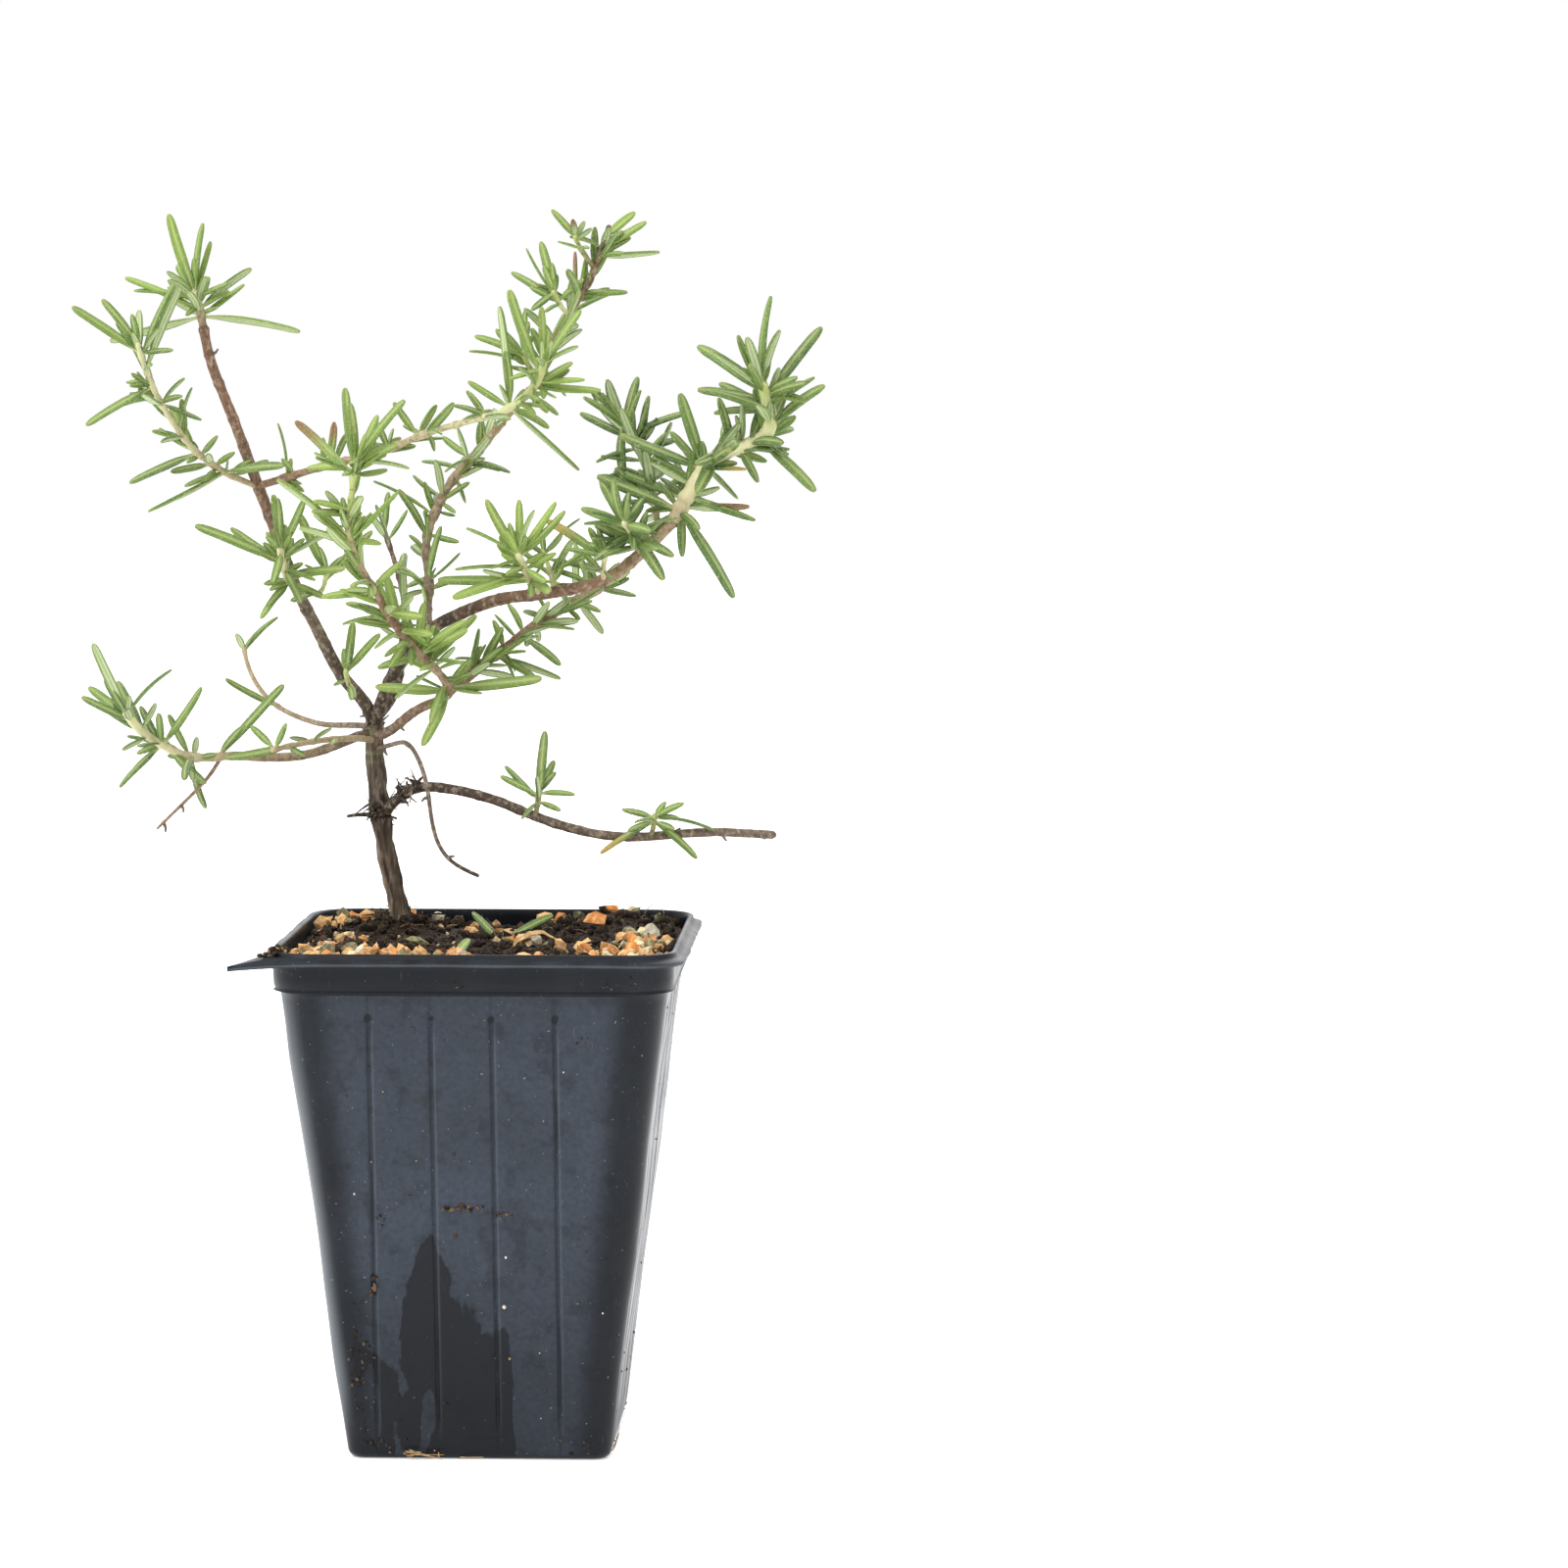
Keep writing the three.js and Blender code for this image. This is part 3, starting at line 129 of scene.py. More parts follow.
SHOOTS = [
  {
    "name": "left_crown", "thick": [1.8, 1.2], "away": 4, "bright": 0.6, "fill": [6, 4, 10],
    "tones": ["red_bark", "cream"],
    "route": [[-60, -5, 136], [-61, -5, 141], [-62, -5, 144]],
    "leaves": [[0, 92, 21], [0, -104, 21], [0.3, 75, 4], [0.4, 42, 14], [0.4, -62, 17], [0.7, -68, 13],
      [0.9, 15, 12], [0.9, -23, 18], [1, 0, 15], [1, -16, 7]],
  },
  {
    "name": "left_side_shoot", "thick": [1.4, 1.0], "away": 8, "bright": 0.45, "fill": [12, 3, 10],
    "tones": ["tan_bark", "cream"],
    "route": [[-50, 3, 102], [-56, -1, 105], [-62, -7, 110], [-67, -12, 118], [-70, -16, 125],
      [-72, -20, 133]],
    "leaves": [[0.1, 62, 8], [0.12, 45, 5], [0.15, 78, 14], [0.15, -120, 19], [0.22, 53, 5],
      [0.24, -100, 9], [0.32, 46, 6], [0.34, -110, 19], [0.38, -55, 6], [0.44, -70, 7], [0.66, 112, 9],
      [0.66, 28, 7], [0.7, -88, 10], [0.7, -46, 7], [0.74, -24, 4], [0.76, -115, 16], [0.85, 15, 19],
      [0.92, 20, 17], [0.95, -52, 18], [1, -31, 12]],
  },
  {
    "name": "cross_shoot", "thick": [1.7, 1.3], "away": 7, "bright": 0.5, "fill": [8, 3, 8],
    "tones": ["red_bark", "tan_bark", "cream"],
    "route": [[-50, 3, 102], [-43, -1, 104], [-33, -4, 107], [-21, -8, 110], [-11, -10, 114],
      [4, -12, 118]],
    "leaves": [[0.1, 110, 5], [0.12, 0, 12], [0.3, 12, 9], [0.33, 18, 7], [0.45, 66, 9], [0.68, 25, 8],
      [0.68, -35, 9], [0.7, 54, 9], [0.7, -63, 5], [0.72, 150, 4], [0.95, -56, 7], [0.95, -32, 7]],
    "turning": {2: "red_tip"},
  },
  {
    "name": "cross_crown", "thick": [1.6, 1.2], "away": 5, "bright": 0.75, "fill": [8, 4, 10],
    "tones": ["cream", "lime"],
    "route": [[4, -12, 118], [9, -13, 121], [13, -15, 125], [14, -16, 129]],
    "leaves": [[0, -2, 22], [0, 132, 21], [0, -58, 10], [0.1, 58, 5], [0.1, 73, 7], [0.5, 145, 6],
      [0.6, 95, 14], [0.6, 120, 5], [0.8, -24, 19], [0.9, 27, 19], [1, 0, 12], [1, 30, 14], [1, 50, 8]],
  },
  {
    "name": "left_front_shoot", "thick": [1.5, 1.2], "away": 5, "bright": 0.55, "fill": [6, 4, 10],
    "tones": ["tan_bark", "cream"],
    "route": [[-42, 8, 79], [-43, -3, 83], [-43, -12, 89]],
    "leaves": [[0.35, -140, 10], [0.4, -105, 5], [0.5, 82, 14], [0.7, -58, 15], [0.75, -61, 20],
      [0.8, 55, 15], [1, 2, 12], [1, 29, 12], [1, -40, 5]],
  },
  {
    "name": "left_inner_sprig", "thick": [1.1, 0.9], "away": 2, "bright": 0.5,
    "tones": ["tan_bark", "lime"],
    "route": [[-42, 8, 79], [-36, 1, 79], [-34, -4, 84]],
    "leaves": [[0.9, -60, 5], [1, -25, 14], [1, 40, 5], [1, 0, 6]],
  },
  {
    "name": "fork_sprig", "thick": [1.1, 0.9], "away": 2, "bright": 0.5,
    "tones": ["tan_bark", "lime"],
    "route": [[-30, 12, 57], [-31, 7, 59], [-31, 4, 62]],
    "leaves": [[0.6, -100, 3], [0.9, 37, 11], [1, 10, 7], [1, -5, 5]],
  },
  {
    "name": "tall_shoot", "thick": [2.0, 1.7], "away": 9, "bright": 0.4, "fill": [16, 3, 9],
    "tones": ["grey_bark", "tan_bark"],
    "route": [[-13, 6, 71], [-14, 12, 75], [-14, 16, 80], [-15, 20, 90], [-13, 22, 96], [-10, 23, 102],
      [-3, 23, 110], [2, 22, 116]],
    "leaves": [[0.18, -32, 9], [0.2, 60, 6], [0.22, -54, 9], [0.24, 54, 10], [0.35, -30, 6],
      [0.38, 10, 7], [0.44, 3, 5], [0.52, -51, 15], [0.54, 104, 4], [0.58, 53, 8], [0.6, -62, 8],
      [0.7, 155, 6], [0.74, -70, 9], [0.76, 84, 7], [0.78, 94, 9], [0.8, -60, 8], [0.84, 7, 6]],
  },
  {
    "name": "tall_crown", "thick": [1.7, 1.2], "away": 8, "bright": 0.55,
    "fill": [14, 4, 11], "wide": 1.12,
    "tones": ["tan_bark", "red_bark", "dark_bark"],
    "route": [[2, 22, 116], [10, 20, 125], [13, 18, 132], [18, 16, 141], [22, 14, 147], [26, 12, 158]],
    "leaves": [[0.15, 50, 5], [0.3, -15, 8], [0.55, 15, 9], [0.6, -48, 9], [0.62, -2, 11], [0.62, 62, 8],
      [0.66, 81, 10], [0.66, 30, 5], [0.86, 87, 13], [0.9, 59, 11], [0.9, 25, 5], [0.9, -52, 7]],
    "turning": {4: "red_tip"},
  },
  {
    "name": "tall_low_sprig", "thick": [1.1, 0.9], "away": 3, "bright": 0.5, "fill": [4, 4, 9],
    "tones": ["cream", "lime"],
    "route": [[10, 20, 125], [8, 16, 128], [7, 13, 131]],
    "leaves": [[0.5, -64, 13], [0.6, -55, 6], [0.8, -56, 11], [1, 0, 9], [1, 8, 7], [1, 25, 5]],
  },
  {
    "name": "tall_middle_sprig", "thick": [1.1, 0.9], "away": 2, "bright": 0.55, "fill": [3, 4, 8],
    "tones": ["cream", "lime"],
    "route": [[17, 16, 139], [15, 14, 141], [14, 12, 144]],
    "leaves": [[0.5, -54, 13], [0.8, -5, 7], [1, -15, 12]],
  },
  {
    "name": "tall_top_sprig", "thick": [1.1, 0.8], "away": 1, "bright": 0.6,
    "tones": ["red_bark", "lime"],
    "route": [[23, 14, 149], [20, 10, 153], [19, 8, 156]],
    "leaves": [[0.6, -68, 5], [0.9, 55, 4], [1, -36, 8], [1, -11, 4], [1, 23, 4]],
    "turning": {3: "brown_tip"},
  },
  {
    "name": "back_shoot", "thick": [1.9, 1.0], "away": 5, "bright": 0.2,
    "tones": ["dark_bark", "purple_bark"],
    "route": [[-26, 14, 50], [-22, 21, 56], [-21, 26, 65], [-21, 30, 75], [-23, 33, 83], [-26, 36, 91]],
    "leaves": [[0.45, -60, 6], [0.7, 60, 8], [0.7, -70, 7], [0.95, -30, 7], [0.95, 35, 8], [1, 0, 9]],
  },
  {
    "name": "right_crown", "thick": [3.2, 2.0], "away": 9, "bright": 0.2,
    "fill": [30, 6, 15], "wide": 1.3,
    "tones": ["tan_bark", "cream", "cream", "lime"],
    "route": [[41, -8, 95], [45, -8, 102], [48, -8, 107], [52, -8, 110], [56, -9, 111], [61, -9, 113],
      [62, -10, 118], [60, -10, 124]],
    "leaves": [[0, -65, 19], [0.02, -120, 13], [0.02, 142, 22], [0.05, 178, 10], [0.05, 90, 14],
      [0.1, -66, 17], [0.1, -14, 9], [0.12, 109, 15], [0.3, -70, 19], [0.3, 87, 9], [0.3, -17, 17],
      [0.32, 80, 6], [0.45, 0, 5], [0.5, -12, 11], [0.55, 2, 6], [0.66, 125, 16], [0.68, 120, 6],
      [0.7, 60, 8], [0.85, -57, 13], [0.88, 55, 12], [0.92, 34, 20], [0.95, -48, 19], [1, -16, 12],
      [1, 3, 12], [1, -5, 19]],
    "turning": {4: "red_tip", 9: "ochre"},
  },
  {
    "name": "right_inner_shoot", "thick": [1.6, 1.1], "away": 5, "bright": 0.15,
    "fill": [24, 6, 14], "wide": 1.25,
    "tones": ["tan_bark", "cream"],
    "route": [[38, -8, 92], [36, -1, 102], [33, 3, 110], [29, 5, 116]],
    "leaves": [[0.35, -66, 12], [0.35, 70, 8], [0.5, -88, 8], [0.55, 27, 6], [0.6, 22, 8], [0.7, 60, 7],
      [0.8, 0, 7], [0.9, 5, 9], [1, -33, 8], [1, -40, 10]],
  },
  {
    "name": "right_front_sprig", "thick": [1.3, 1.0], "away": 3, "bright": 0.2,
    "fill": [12, 6, 13], "wide": 1.25,
    "tones": ["tan_bark", "cream"],
    "route": [[34, -8, 88], [33, -13, 92], [31, -17, 95]],
    "leaves": [[0.5, -118, 10], [0.6, 127, 11], [0.7, 140, 13], [0.8, -70, 9], [0.9, 95, 8], [1, 0, 7],
      [1, -25, 10], [1, 30, 8]],
  },
  {
    "name": "right_yellow_sprig", "thick": [1.2, 0.9], "away": 2, "bright": 0.4, "fill": [6, 4, 11],
    "tones": ["tan_bark", "cream"],
    "route": [[26, -6, 82], [26, -10, 85], [27, -12, 89]],
    "leaves": [[0.7, -50, 16], [0.8, 65, 9], [1, -60, 8], [1, 20, 6], [1, -10, 5]],
    "turning": {0: "ochre"},
  },
  {
    "name": "middle_bright_shoot", "thick": [1.5, 1.2], "away": 4, "bright": 0.8, "fill": [10, 4, 12],
    "tones": ["tan_bark", "cream"],
    "route": [[12, -3, 79], [10, -8, 83], [8, -12, 88]],
    "leaves": [[0.3, -88, 20], [0.3, 86, 6], [0.5, -103, 17], [0.7, -85, 15], [0.75, 60, 5], [0.9, 5, 6],
      [1, -54, 13], [1, -35, 14], [1, 35, 14], [1, 50, 14]],
  },
  {
    "name": "middle_back_sprig", "thick": [1.1, 0.9], "away": 3, "bright": 0.35, "fill": [8, 4, 12],
    "tones": ["tan_bark", "lime"],
    "route": [[15, -4, 80], [14, 2, 83], [12, 5, 88]],
    "leaves": [[0.5, 62, 12], [0.6, 100, 9], [0.9, -10, 6], [1, 50, 6], [1, -50, 4]],
  },
  {
    "name": "middle_right_shoot", "thick": [2.0, 1.7], "away": 7, "bright": 0.45,
    "fill": [26, 4, 12], "wide": 1.1,
    "tones": ["red_bark", "red_bark", "tan_bark"],
    "route": [[-10, -1, 56], [-3, 6, 62], [4, 12, 67], [12, 18, 73], [23, 24, 79]],
    "leaves": [[0.15, 54, 6], [0.2, 89, 9], [0.22, 43, 7], [0.25, 80, 6], [0.35, 107, 15], [0.4, 132, 5],
      [0.45, 60, 6], [0.5, -40, 7], [0.7, -20, 8], [0.8, 73, 6], [0.8, 124, 4], [0.85, 105, 6],
      [1, 60, 8], [1, 95, 9], [1, 75, 7], [1, -10, 6]],
  },
  {
    "name": "front_shoot", "thick": [1.7, 1.2], "away": 12, "bright": 0.75,
    "fill": [34, 4, 12], "wide": 1.12,
    "tones": ["red_bark", "tan_bark", "red_bark", "tan_bark", "lime"],
    "route": [[-10, -1, 56], [-7, -6, 58], [-9, -9, 62], [-14, -14, 68], [-19, -18, 75], [-23, -21, 83],
      [-25, -22, 86], [-27, -23, 94], [-26, -24, 102]],
    "leaves": [[0.08, -87, 16], [0.08, -155, 13], [0.1, 85, 20], [0.1, 100, 7], [0.1, -147, 6],
      [0.12, 60, 6], [0.2, -70, 8], [0.2, 56, 6], [0.22, 48, 6], [0.24, 37, 14], [0.3, 45, 12],
      [0.3, 63, 12], [0.32, 8, 10], [0.48, -79, 10], [0.48, 43, 8], [0.49, -64, 10], [0.5, -14, 8],
      [0.47, 122, 10], [0.62, 45, 8], [0.62, -50, 9], [0.82, -43, 20], [0.82, 48, 16], [0.82, 41, 7],
      [0.84, 20, 5], [0.84, -19, 6]],
  },
  {
    "name": "front_crown", "thick": [1.3, 1.1], "away": 4, "bright": 0.85, "fill": [6, 4, 11],
    "tones": ["lime", "lime"],
    "route": [[-26, -24, 102], [-26, -24, 105], [-25, -25, 108]],
    "leaves": [[0.2, -43, 20], [0.3, 39, 11], [0.4, 88, 7], [0.5, 65, 8], [0.7, -10, 18], [0.8, 1, 13],
      [0.9, 31, 17], [1, 22, 6], [1, 55, 9]],
    "turning": {0: "brown_tip"},
  },
  {
    "name": "low_left_crown", "thick": [1.9, 1.3], "away": 5, "bright": 0.15, "fill": [8, 4, 11],
    "tones": ["tan_bark", "cream"],
    "route": [[-55, -4, 44], [-63, -9, 44], [-69, -12, 47], [-73, -14, 50], [-76, -16, 54]],
    "leaves": [[0.06, 40, 21], [0.25, 80, 4], [0.28, 3, 4], [0.3, 178, 12], [0.58, 40, 17], [0.6, -30, 9],
      [0.6, -75, 8], [0.58, -128, 14], [0.8, 32, 7], [0.85, -51, 14], [0.9, -62, 12], [1, -26, 17],
      [1, 28, 13]],
  },
  {
    "name": "low_back_shoot", "thick": [1.5, 0.9], "away": 1, "bright": 0.4,
    "tones": ["purple_bark", "tan_bark"],
    "route": [[-26, 14, 49], [-31, 18, 49], [-39, 21, 49], [-48, 25, 52], [-53, 28, 56], [-56, 30, 61],
      [-57, 31, 65]],
    "leaves": [[1, 28, 10], [1, -20, 4]],
  },
  {
    "name": "low_front_shoot", "thick": [1.6, 1.1], "away": 2, "bright": 0.4,
    "tones": ["tan_bark", "tan_bark"],
    "route": [[-26, 14, 46], [-30, 7, 47], [-37, -1, 47], [-45, -12, 46]],
    "leaves": [[0.6, 45, 5], [0.6, -74, 5], [0.85, 120, 4], [1, -43, 7], [1, 25, 6], [1, 31, 5]],
  },
  {
    "name": "low_right_sprig", "thick": [1.2, 1.0], "away": 2, "bright": 0.4,
    "tones": ["grey_bark", "lime"],
    "route": [[11, -8, 31], [12, -9, 35], [12, -9, 37]],
    "leaves": [[0.5, -130, 5], [0.5, 105, 5], [0.6, -46, 10], [0.8, -62, 9], [0.9, 28, 6], [0.9, 83, 8],
      [1, 4, 14]],
  },
  {
    "name": "low_right_end_sprig", "thick": [1.2, 1.0], "away": 1, "bright": 0.3,
    "tones": ["grey_bark", "lime"],
    "route": [[36, -9, 27], [37, -10, 30], [37, -11, 32]],
    "leaves": [[0.6, -112, 13], [0.6, 122, 12], [1, 89, 13], [1, -68, 7], [1, 80, 5], [0.9, 30, 4]],
    "turning": {0: "ochre"},
  },
]

# ---------------------------------------------------------------- colours


def srgb(red, green, blue):
    """A linear colour from the usual 0 to 255 numbers."""
    def linear(c):
        c /= 255
        return c / 12.92 if c <= 0.04045 else ((c + 0.055) / 1.055) ** 2.4
    return Vector((linear(red), linear(green), linear(blue)))


COLOURS = {
    "dark_bark": srgb(60, 48, 39), "grey_bark": srgb(104, 90, 76), "red_bark": srgb(122, 92, 72),
    "tan_bark": srgb(163, 142, 112), "purple_bark": srgb(98, 76, 74),
    "cream": srgb(206, 204, 158), "lime": srgb(176, 188, 112), "dry": srgb(150, 128, 104),
    "leaf_dark": srgb(72, 100, 50), "leaf_mid": srgb(96, 124, 54), "leaf_bright": srgb(122, 148, 60),
    "leaf_foot": srgb(192, 200, 146), "felt": srgb(184, 196, 154), "rib": srgb(140, 160, 96),
    "brown_tip": srgb(122, 84, 52), "red_tip": srgb(140, 82, 70), "ochre": srgb(168, 136, 62),
    "lichen": srgb(120, 126, 92),
    "peat": srgb(26, 22, 19), "peat_light": srgb(62, 50, 40), "chip": srgb(230, 180, 118),
    "chip_light": srgb(242, 216, 168), "chip_dark": srgb(208, 146, 88),
    "chip_orange": srgb(236, 154, 82), "pale_bit": srgb(222, 214, 192), "grey_bit": srgb(122, 118, 84),
    "root": srgb(176, 142, 100), "dry_leaf": srgb(196, 160, 108),
    "granule": srgb(206, 180, 74), "crust": srgb(104, 88, 66),
}


def blend_colours(stops, share):
    """A colour along a list of colours, share 0 the first and 1 the last."""
    place = min(max(share, 0), 0.9999) * (len(stops) - 1)
    first = int(place)
    last = min(first + 1, len(stops) - 1)
    return stops[first].lerp(stops[last], place - first)


def chance(n):
    """A fixed number from 0 to 1 for each whole number, the same as in the CAD model."""
    s = math.sin(n * 12.9898 + 4.1414) * 43758.5453
    return s - math.floor(s)


def smooth(low, high, value):
    """0 below low, 1 above high and a soft step between them."""
    t = min(max((value - low) / (high - low), 0), 1)
    return t * t * (3 - 2 * t)


# ---------------------------------------------------------------- meshes


class Skin:
    """A mesh in the making: points in millimetres, each with a colour, and faces with a material."""

    def __init__(self):
        self.points = []
        self.colours = []
        self.faces = []
        self.slots = []

    def rings(self, rings, colours, slot, closed=(True, True)):
        """Joins rings of points, one after the other, and closes either end with a fan."""
        start = len(self.points)
        count = len(rings[0])
        for ring, row in zip(rings, colours):
            self.points.extend(ring)
            self.colours.extend(row)
        for r in range(len(rings) - 1):
            low = start + r * count
            for k in range(count):
                n = (k + 1) % count
                self.faces.append((low + k, low + n, low + count + n, low + count + k))
                self.slots.append(slot)
        for end, wanted in zip((0, len(rings) - 1), closed):
            if not wanted:
                continue
            centre = sum((Vector(p) for p in rings[end]), Vector()) / count
            self.points.append(centre)
            self.colours.append(colours[end][0])
            tip = len(self.points) - 1
            low = start + end * count
            for k in range(count):
                n = (k + 1) % count
                face = (low + n, low + k, tip) if end == 0 else (low + k, low + n, tip)
                self.faces.append(face)
                self.slots.append(slot)

    def lump(self, points, faces, colour, slot):
        """Adds a ready shape in one colour."""
        start = len(self.points)
        self.points.extend(points)
        self.colours.extend([colour] * len(points))
        self.faces.extend([tuple(start + i for i in face) for face in faces])
        self.slots.extend([slot] * len(faces))

    def build(self, name, materials, flat_slots=()):
        """The finished object. The faces of flat slots are not shaded smooth."""
        mesh = bpy.data.meshes.new(name)
        mesh.from_pydata([tuple(p * MM for p in point) for point in self.points], [], self.faces)
        for look in materials:
            mesh.materials.append(look)
        mesh.polygons.foreach_set("material_index", self.slots)
        mesh.polygons.foreach_set("use_smooth", [slot not in flat_slots for slot in self.slots])
        tint = mesh.color_attributes.new(name="tint", type="FLOAT_COLOR", domain="POINT")
        tint.data.foreach_set("color", [c for colour in self.colours for c in (*colour, 1.0)])
        mesh.update()
        piece = bpy.data.objects.new(name, mesh)
        bpy.context.scene.collection.objects.link(piece)
        return piece


def hand_over(piece, slot, *nodes):
    """The piece rides on the part's one body and stands for its CAD nodes."""
    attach(piece, "root")
    if nodes:
        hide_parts(*nodes)
    return piece


# ---------------------------------------------------------------- materials


def new_material(name, roughness, specular=0.5):
    """A node material and its shader, whose colour is the mesh's own tint to begin with."""
    look = bpy.data.materials.new(name)
    look.use_nodes = True
    nodes = look.node_tree.nodes
    shader = nodes["Principled BSDF"]
    shader.inputs["Roughness"].default_value = roughness
    shader.inputs["Specular IOR Level"].default_value = specular
    tint = nodes.new("ShaderNodeAttribute")
    tint.attribute_name = "tint"
    look.node_tree.links.new(tint.outputs["Color"], shader.inputs["Base Color"])
    return look, shader, tint


def grain(tree, scale, detail=3.0, stretch=None):
    """Noise in the piece's own space, scale in bumps per metre, drawn out along an axis if asked."""
    place = tree.nodes.new("ShaderNodeTexCoord")
    source = place.outputs["Object"]
    if stretch:
        mapping = tree.nodes.new("ShaderNodeMapping")
        mapping.inputs["Scale"].default_value = stretch
        tree.links.new(source, mapping.inputs["Vector"])
        source = mapping.outputs["Vector"]
    node = tree.nodes.new("ShaderNodeTexNoise")
    node.inputs["Scale"].default_value = scale
    node.inputs["Detail"].default_value = detail
    tree.links.new(source, node.inputs["Vector"])
    return node.outputs["Fac"]


def ramp(tree, value, low, high, start=0.0, end=1.0):
    """value mapped from low..high to start..end."""
    node = tree.nodes.new("ShaderNodeMapRange")
    node.inputs["From Min"].default_value = low
    node.inputs["From Max"].default_value = high
    node.inputs["To Min"].default_value = start
    node.inputs["To Max"].default_value = end
    tree.links.new(value, node.inputs["Value"])
    return node.outputs["Result"]


def mix(tree, share, first, second, mode="MIX"):
    """A mix of two colours; each is an output or a plain colour."""
    node = tree.nodes.new("ShaderNodeMix")
    node.data_type = "RGBA"
    node.blend_type = mode
    for socket, value in ((node.inputs[0], share), (node.inputs[6], first), (node.inputs[7], second)):
        if isinstance(value, bpy.types.NodeSocket):
            tree.links.new(value, socket)
        elif isinstance(value, (int, float)):
            socket.default_value = value
        else:
            socket.default_value = (*value, 1.0)
    return node.outputs[2]


def combine(tree, operation, first, second):
    """Two values put together by a math node, such as their product."""
    node = tree.nodes.new("ShaderNodeMath")
    node.operation = operation
    tree.links.new(first, node.inputs[0])
    tree.links.new(second, node.inputs[1])
    return node.outputs[0]


def bump(tree, shader, height, strength, distance):
    """Fine relief, strength from 0 to 1 and distance in metres."""
    node = tree.nodes.new("ShaderNodeBump")
    node.inputs["Strength"].default_value = strength
    node.inputs["Distance"].default_value = distance
    tree.links.new(height, node.inputs["Height"])
    tree.links.new(node.outputs["Normal"], shader.inputs["Normal"])


def leaf_material():
    """Leathery green with a fine pale fuzz in specks."""
    look, shader, tint = new_material("rosemary_leaf", roughness=0.5, specular=0.35)
    tree = look.node_tree
    patches = ramp(tree, grain(tree, 260), 0.4, 0.75, end=0.3)
    mottled = mix(tree, patches, tint.outputs["Color"], srgb(146, 162, 88))
    specks = grain(tree, 2300, detail=2)
    share = ramp(tree, specks, 0.55, 0.72, end=0.4)
    colour = mix(tree, share, mottled, srgb(190, 200, 150))
    tree.links.new(colour, shader.inputs["Base Color"])
    bump(tree, shader, specks, strength=0.5, distance=0.00012)
    return look


def bark_material(name, stretch):
    """Stem skin: fine dark grain, drawn out by the stretch, and small pale flecks."""
    look, shader, tint = new_material(name, roughness=0.72, specular=0.3)
    tree = look.node_tree
    streaks = grain(tree, 1400, detail=4, stretch=stretch)
    dark = ramp(tree, streaks, 0.3, 0.55, 0.6, 0.0)
    streaked = mix(tree, dark, tint.outputs["Color"], srgb(66, 50, 40))
    light = ramp(tree, grain(tree, 900, detail=4, stretch=stretch), 0.5, 0.72, end=0.5)
    colour = mix(tree, light, streaked, srgb(190, 176, 150))
    tree.links.new(colour, shader.inputs["Base Color"])
    bump(tree, shader, streaks, strength=0.6, distance=0.0003)
    return look


def shoot_material():
    """Young stem skin: soft, pale and downy."""
    look, shader, tint = new_material("rosemary_young_stem", roughness=0.62, specular=0.3)
    tree = look.node_tree
    down = grain(tree, 1500, detail=3, stretch=(1.0, 1.0, 0.5))
    share = ramp(tree, down, 0.42, 0.7, end=0.3)
    colour = mix(tree, share, tint.outputs["Color"], srgb(216, 214, 176))
    shade = ramp(tree, grain(tree, 300, detail=3), 0.55, 0.3, end=0.25)
    colour = mix(tree, shade, colour, srgb(128, 112, 74))
    tree.links.new(colour, shader.inputs["Base Color"])
    bump(tree, shader, down, strength=0.4, distance=0.0002)
    return look


def rough_material(name, light, scale, roughness, depth):
    """Crumbly matter: its tint broken up by lighter grains."""
    look, shader, tint = new_material(name, roughness=roughness, specular=0.25)
    tree = look.node_tree
    grains = grain(tree, scale, detail=5)
    share = ramp(tree, grains, 0.5, 0.72, end=0.55)
    colour = mix(tree, share, tint.outputs["Color"], light)
    shade = ramp(tree, grain(tree, scale * 0.35, detail=3), 0.5, 0.32, end=0.5)
    colour = mix(tree, shade, colour, srgb(46, 34, 26))
    tree.links.new(colour, shader.inputs["Base Color"])
    bump(tree, shader, grains, strength=0.7, distance=depth)
    return look


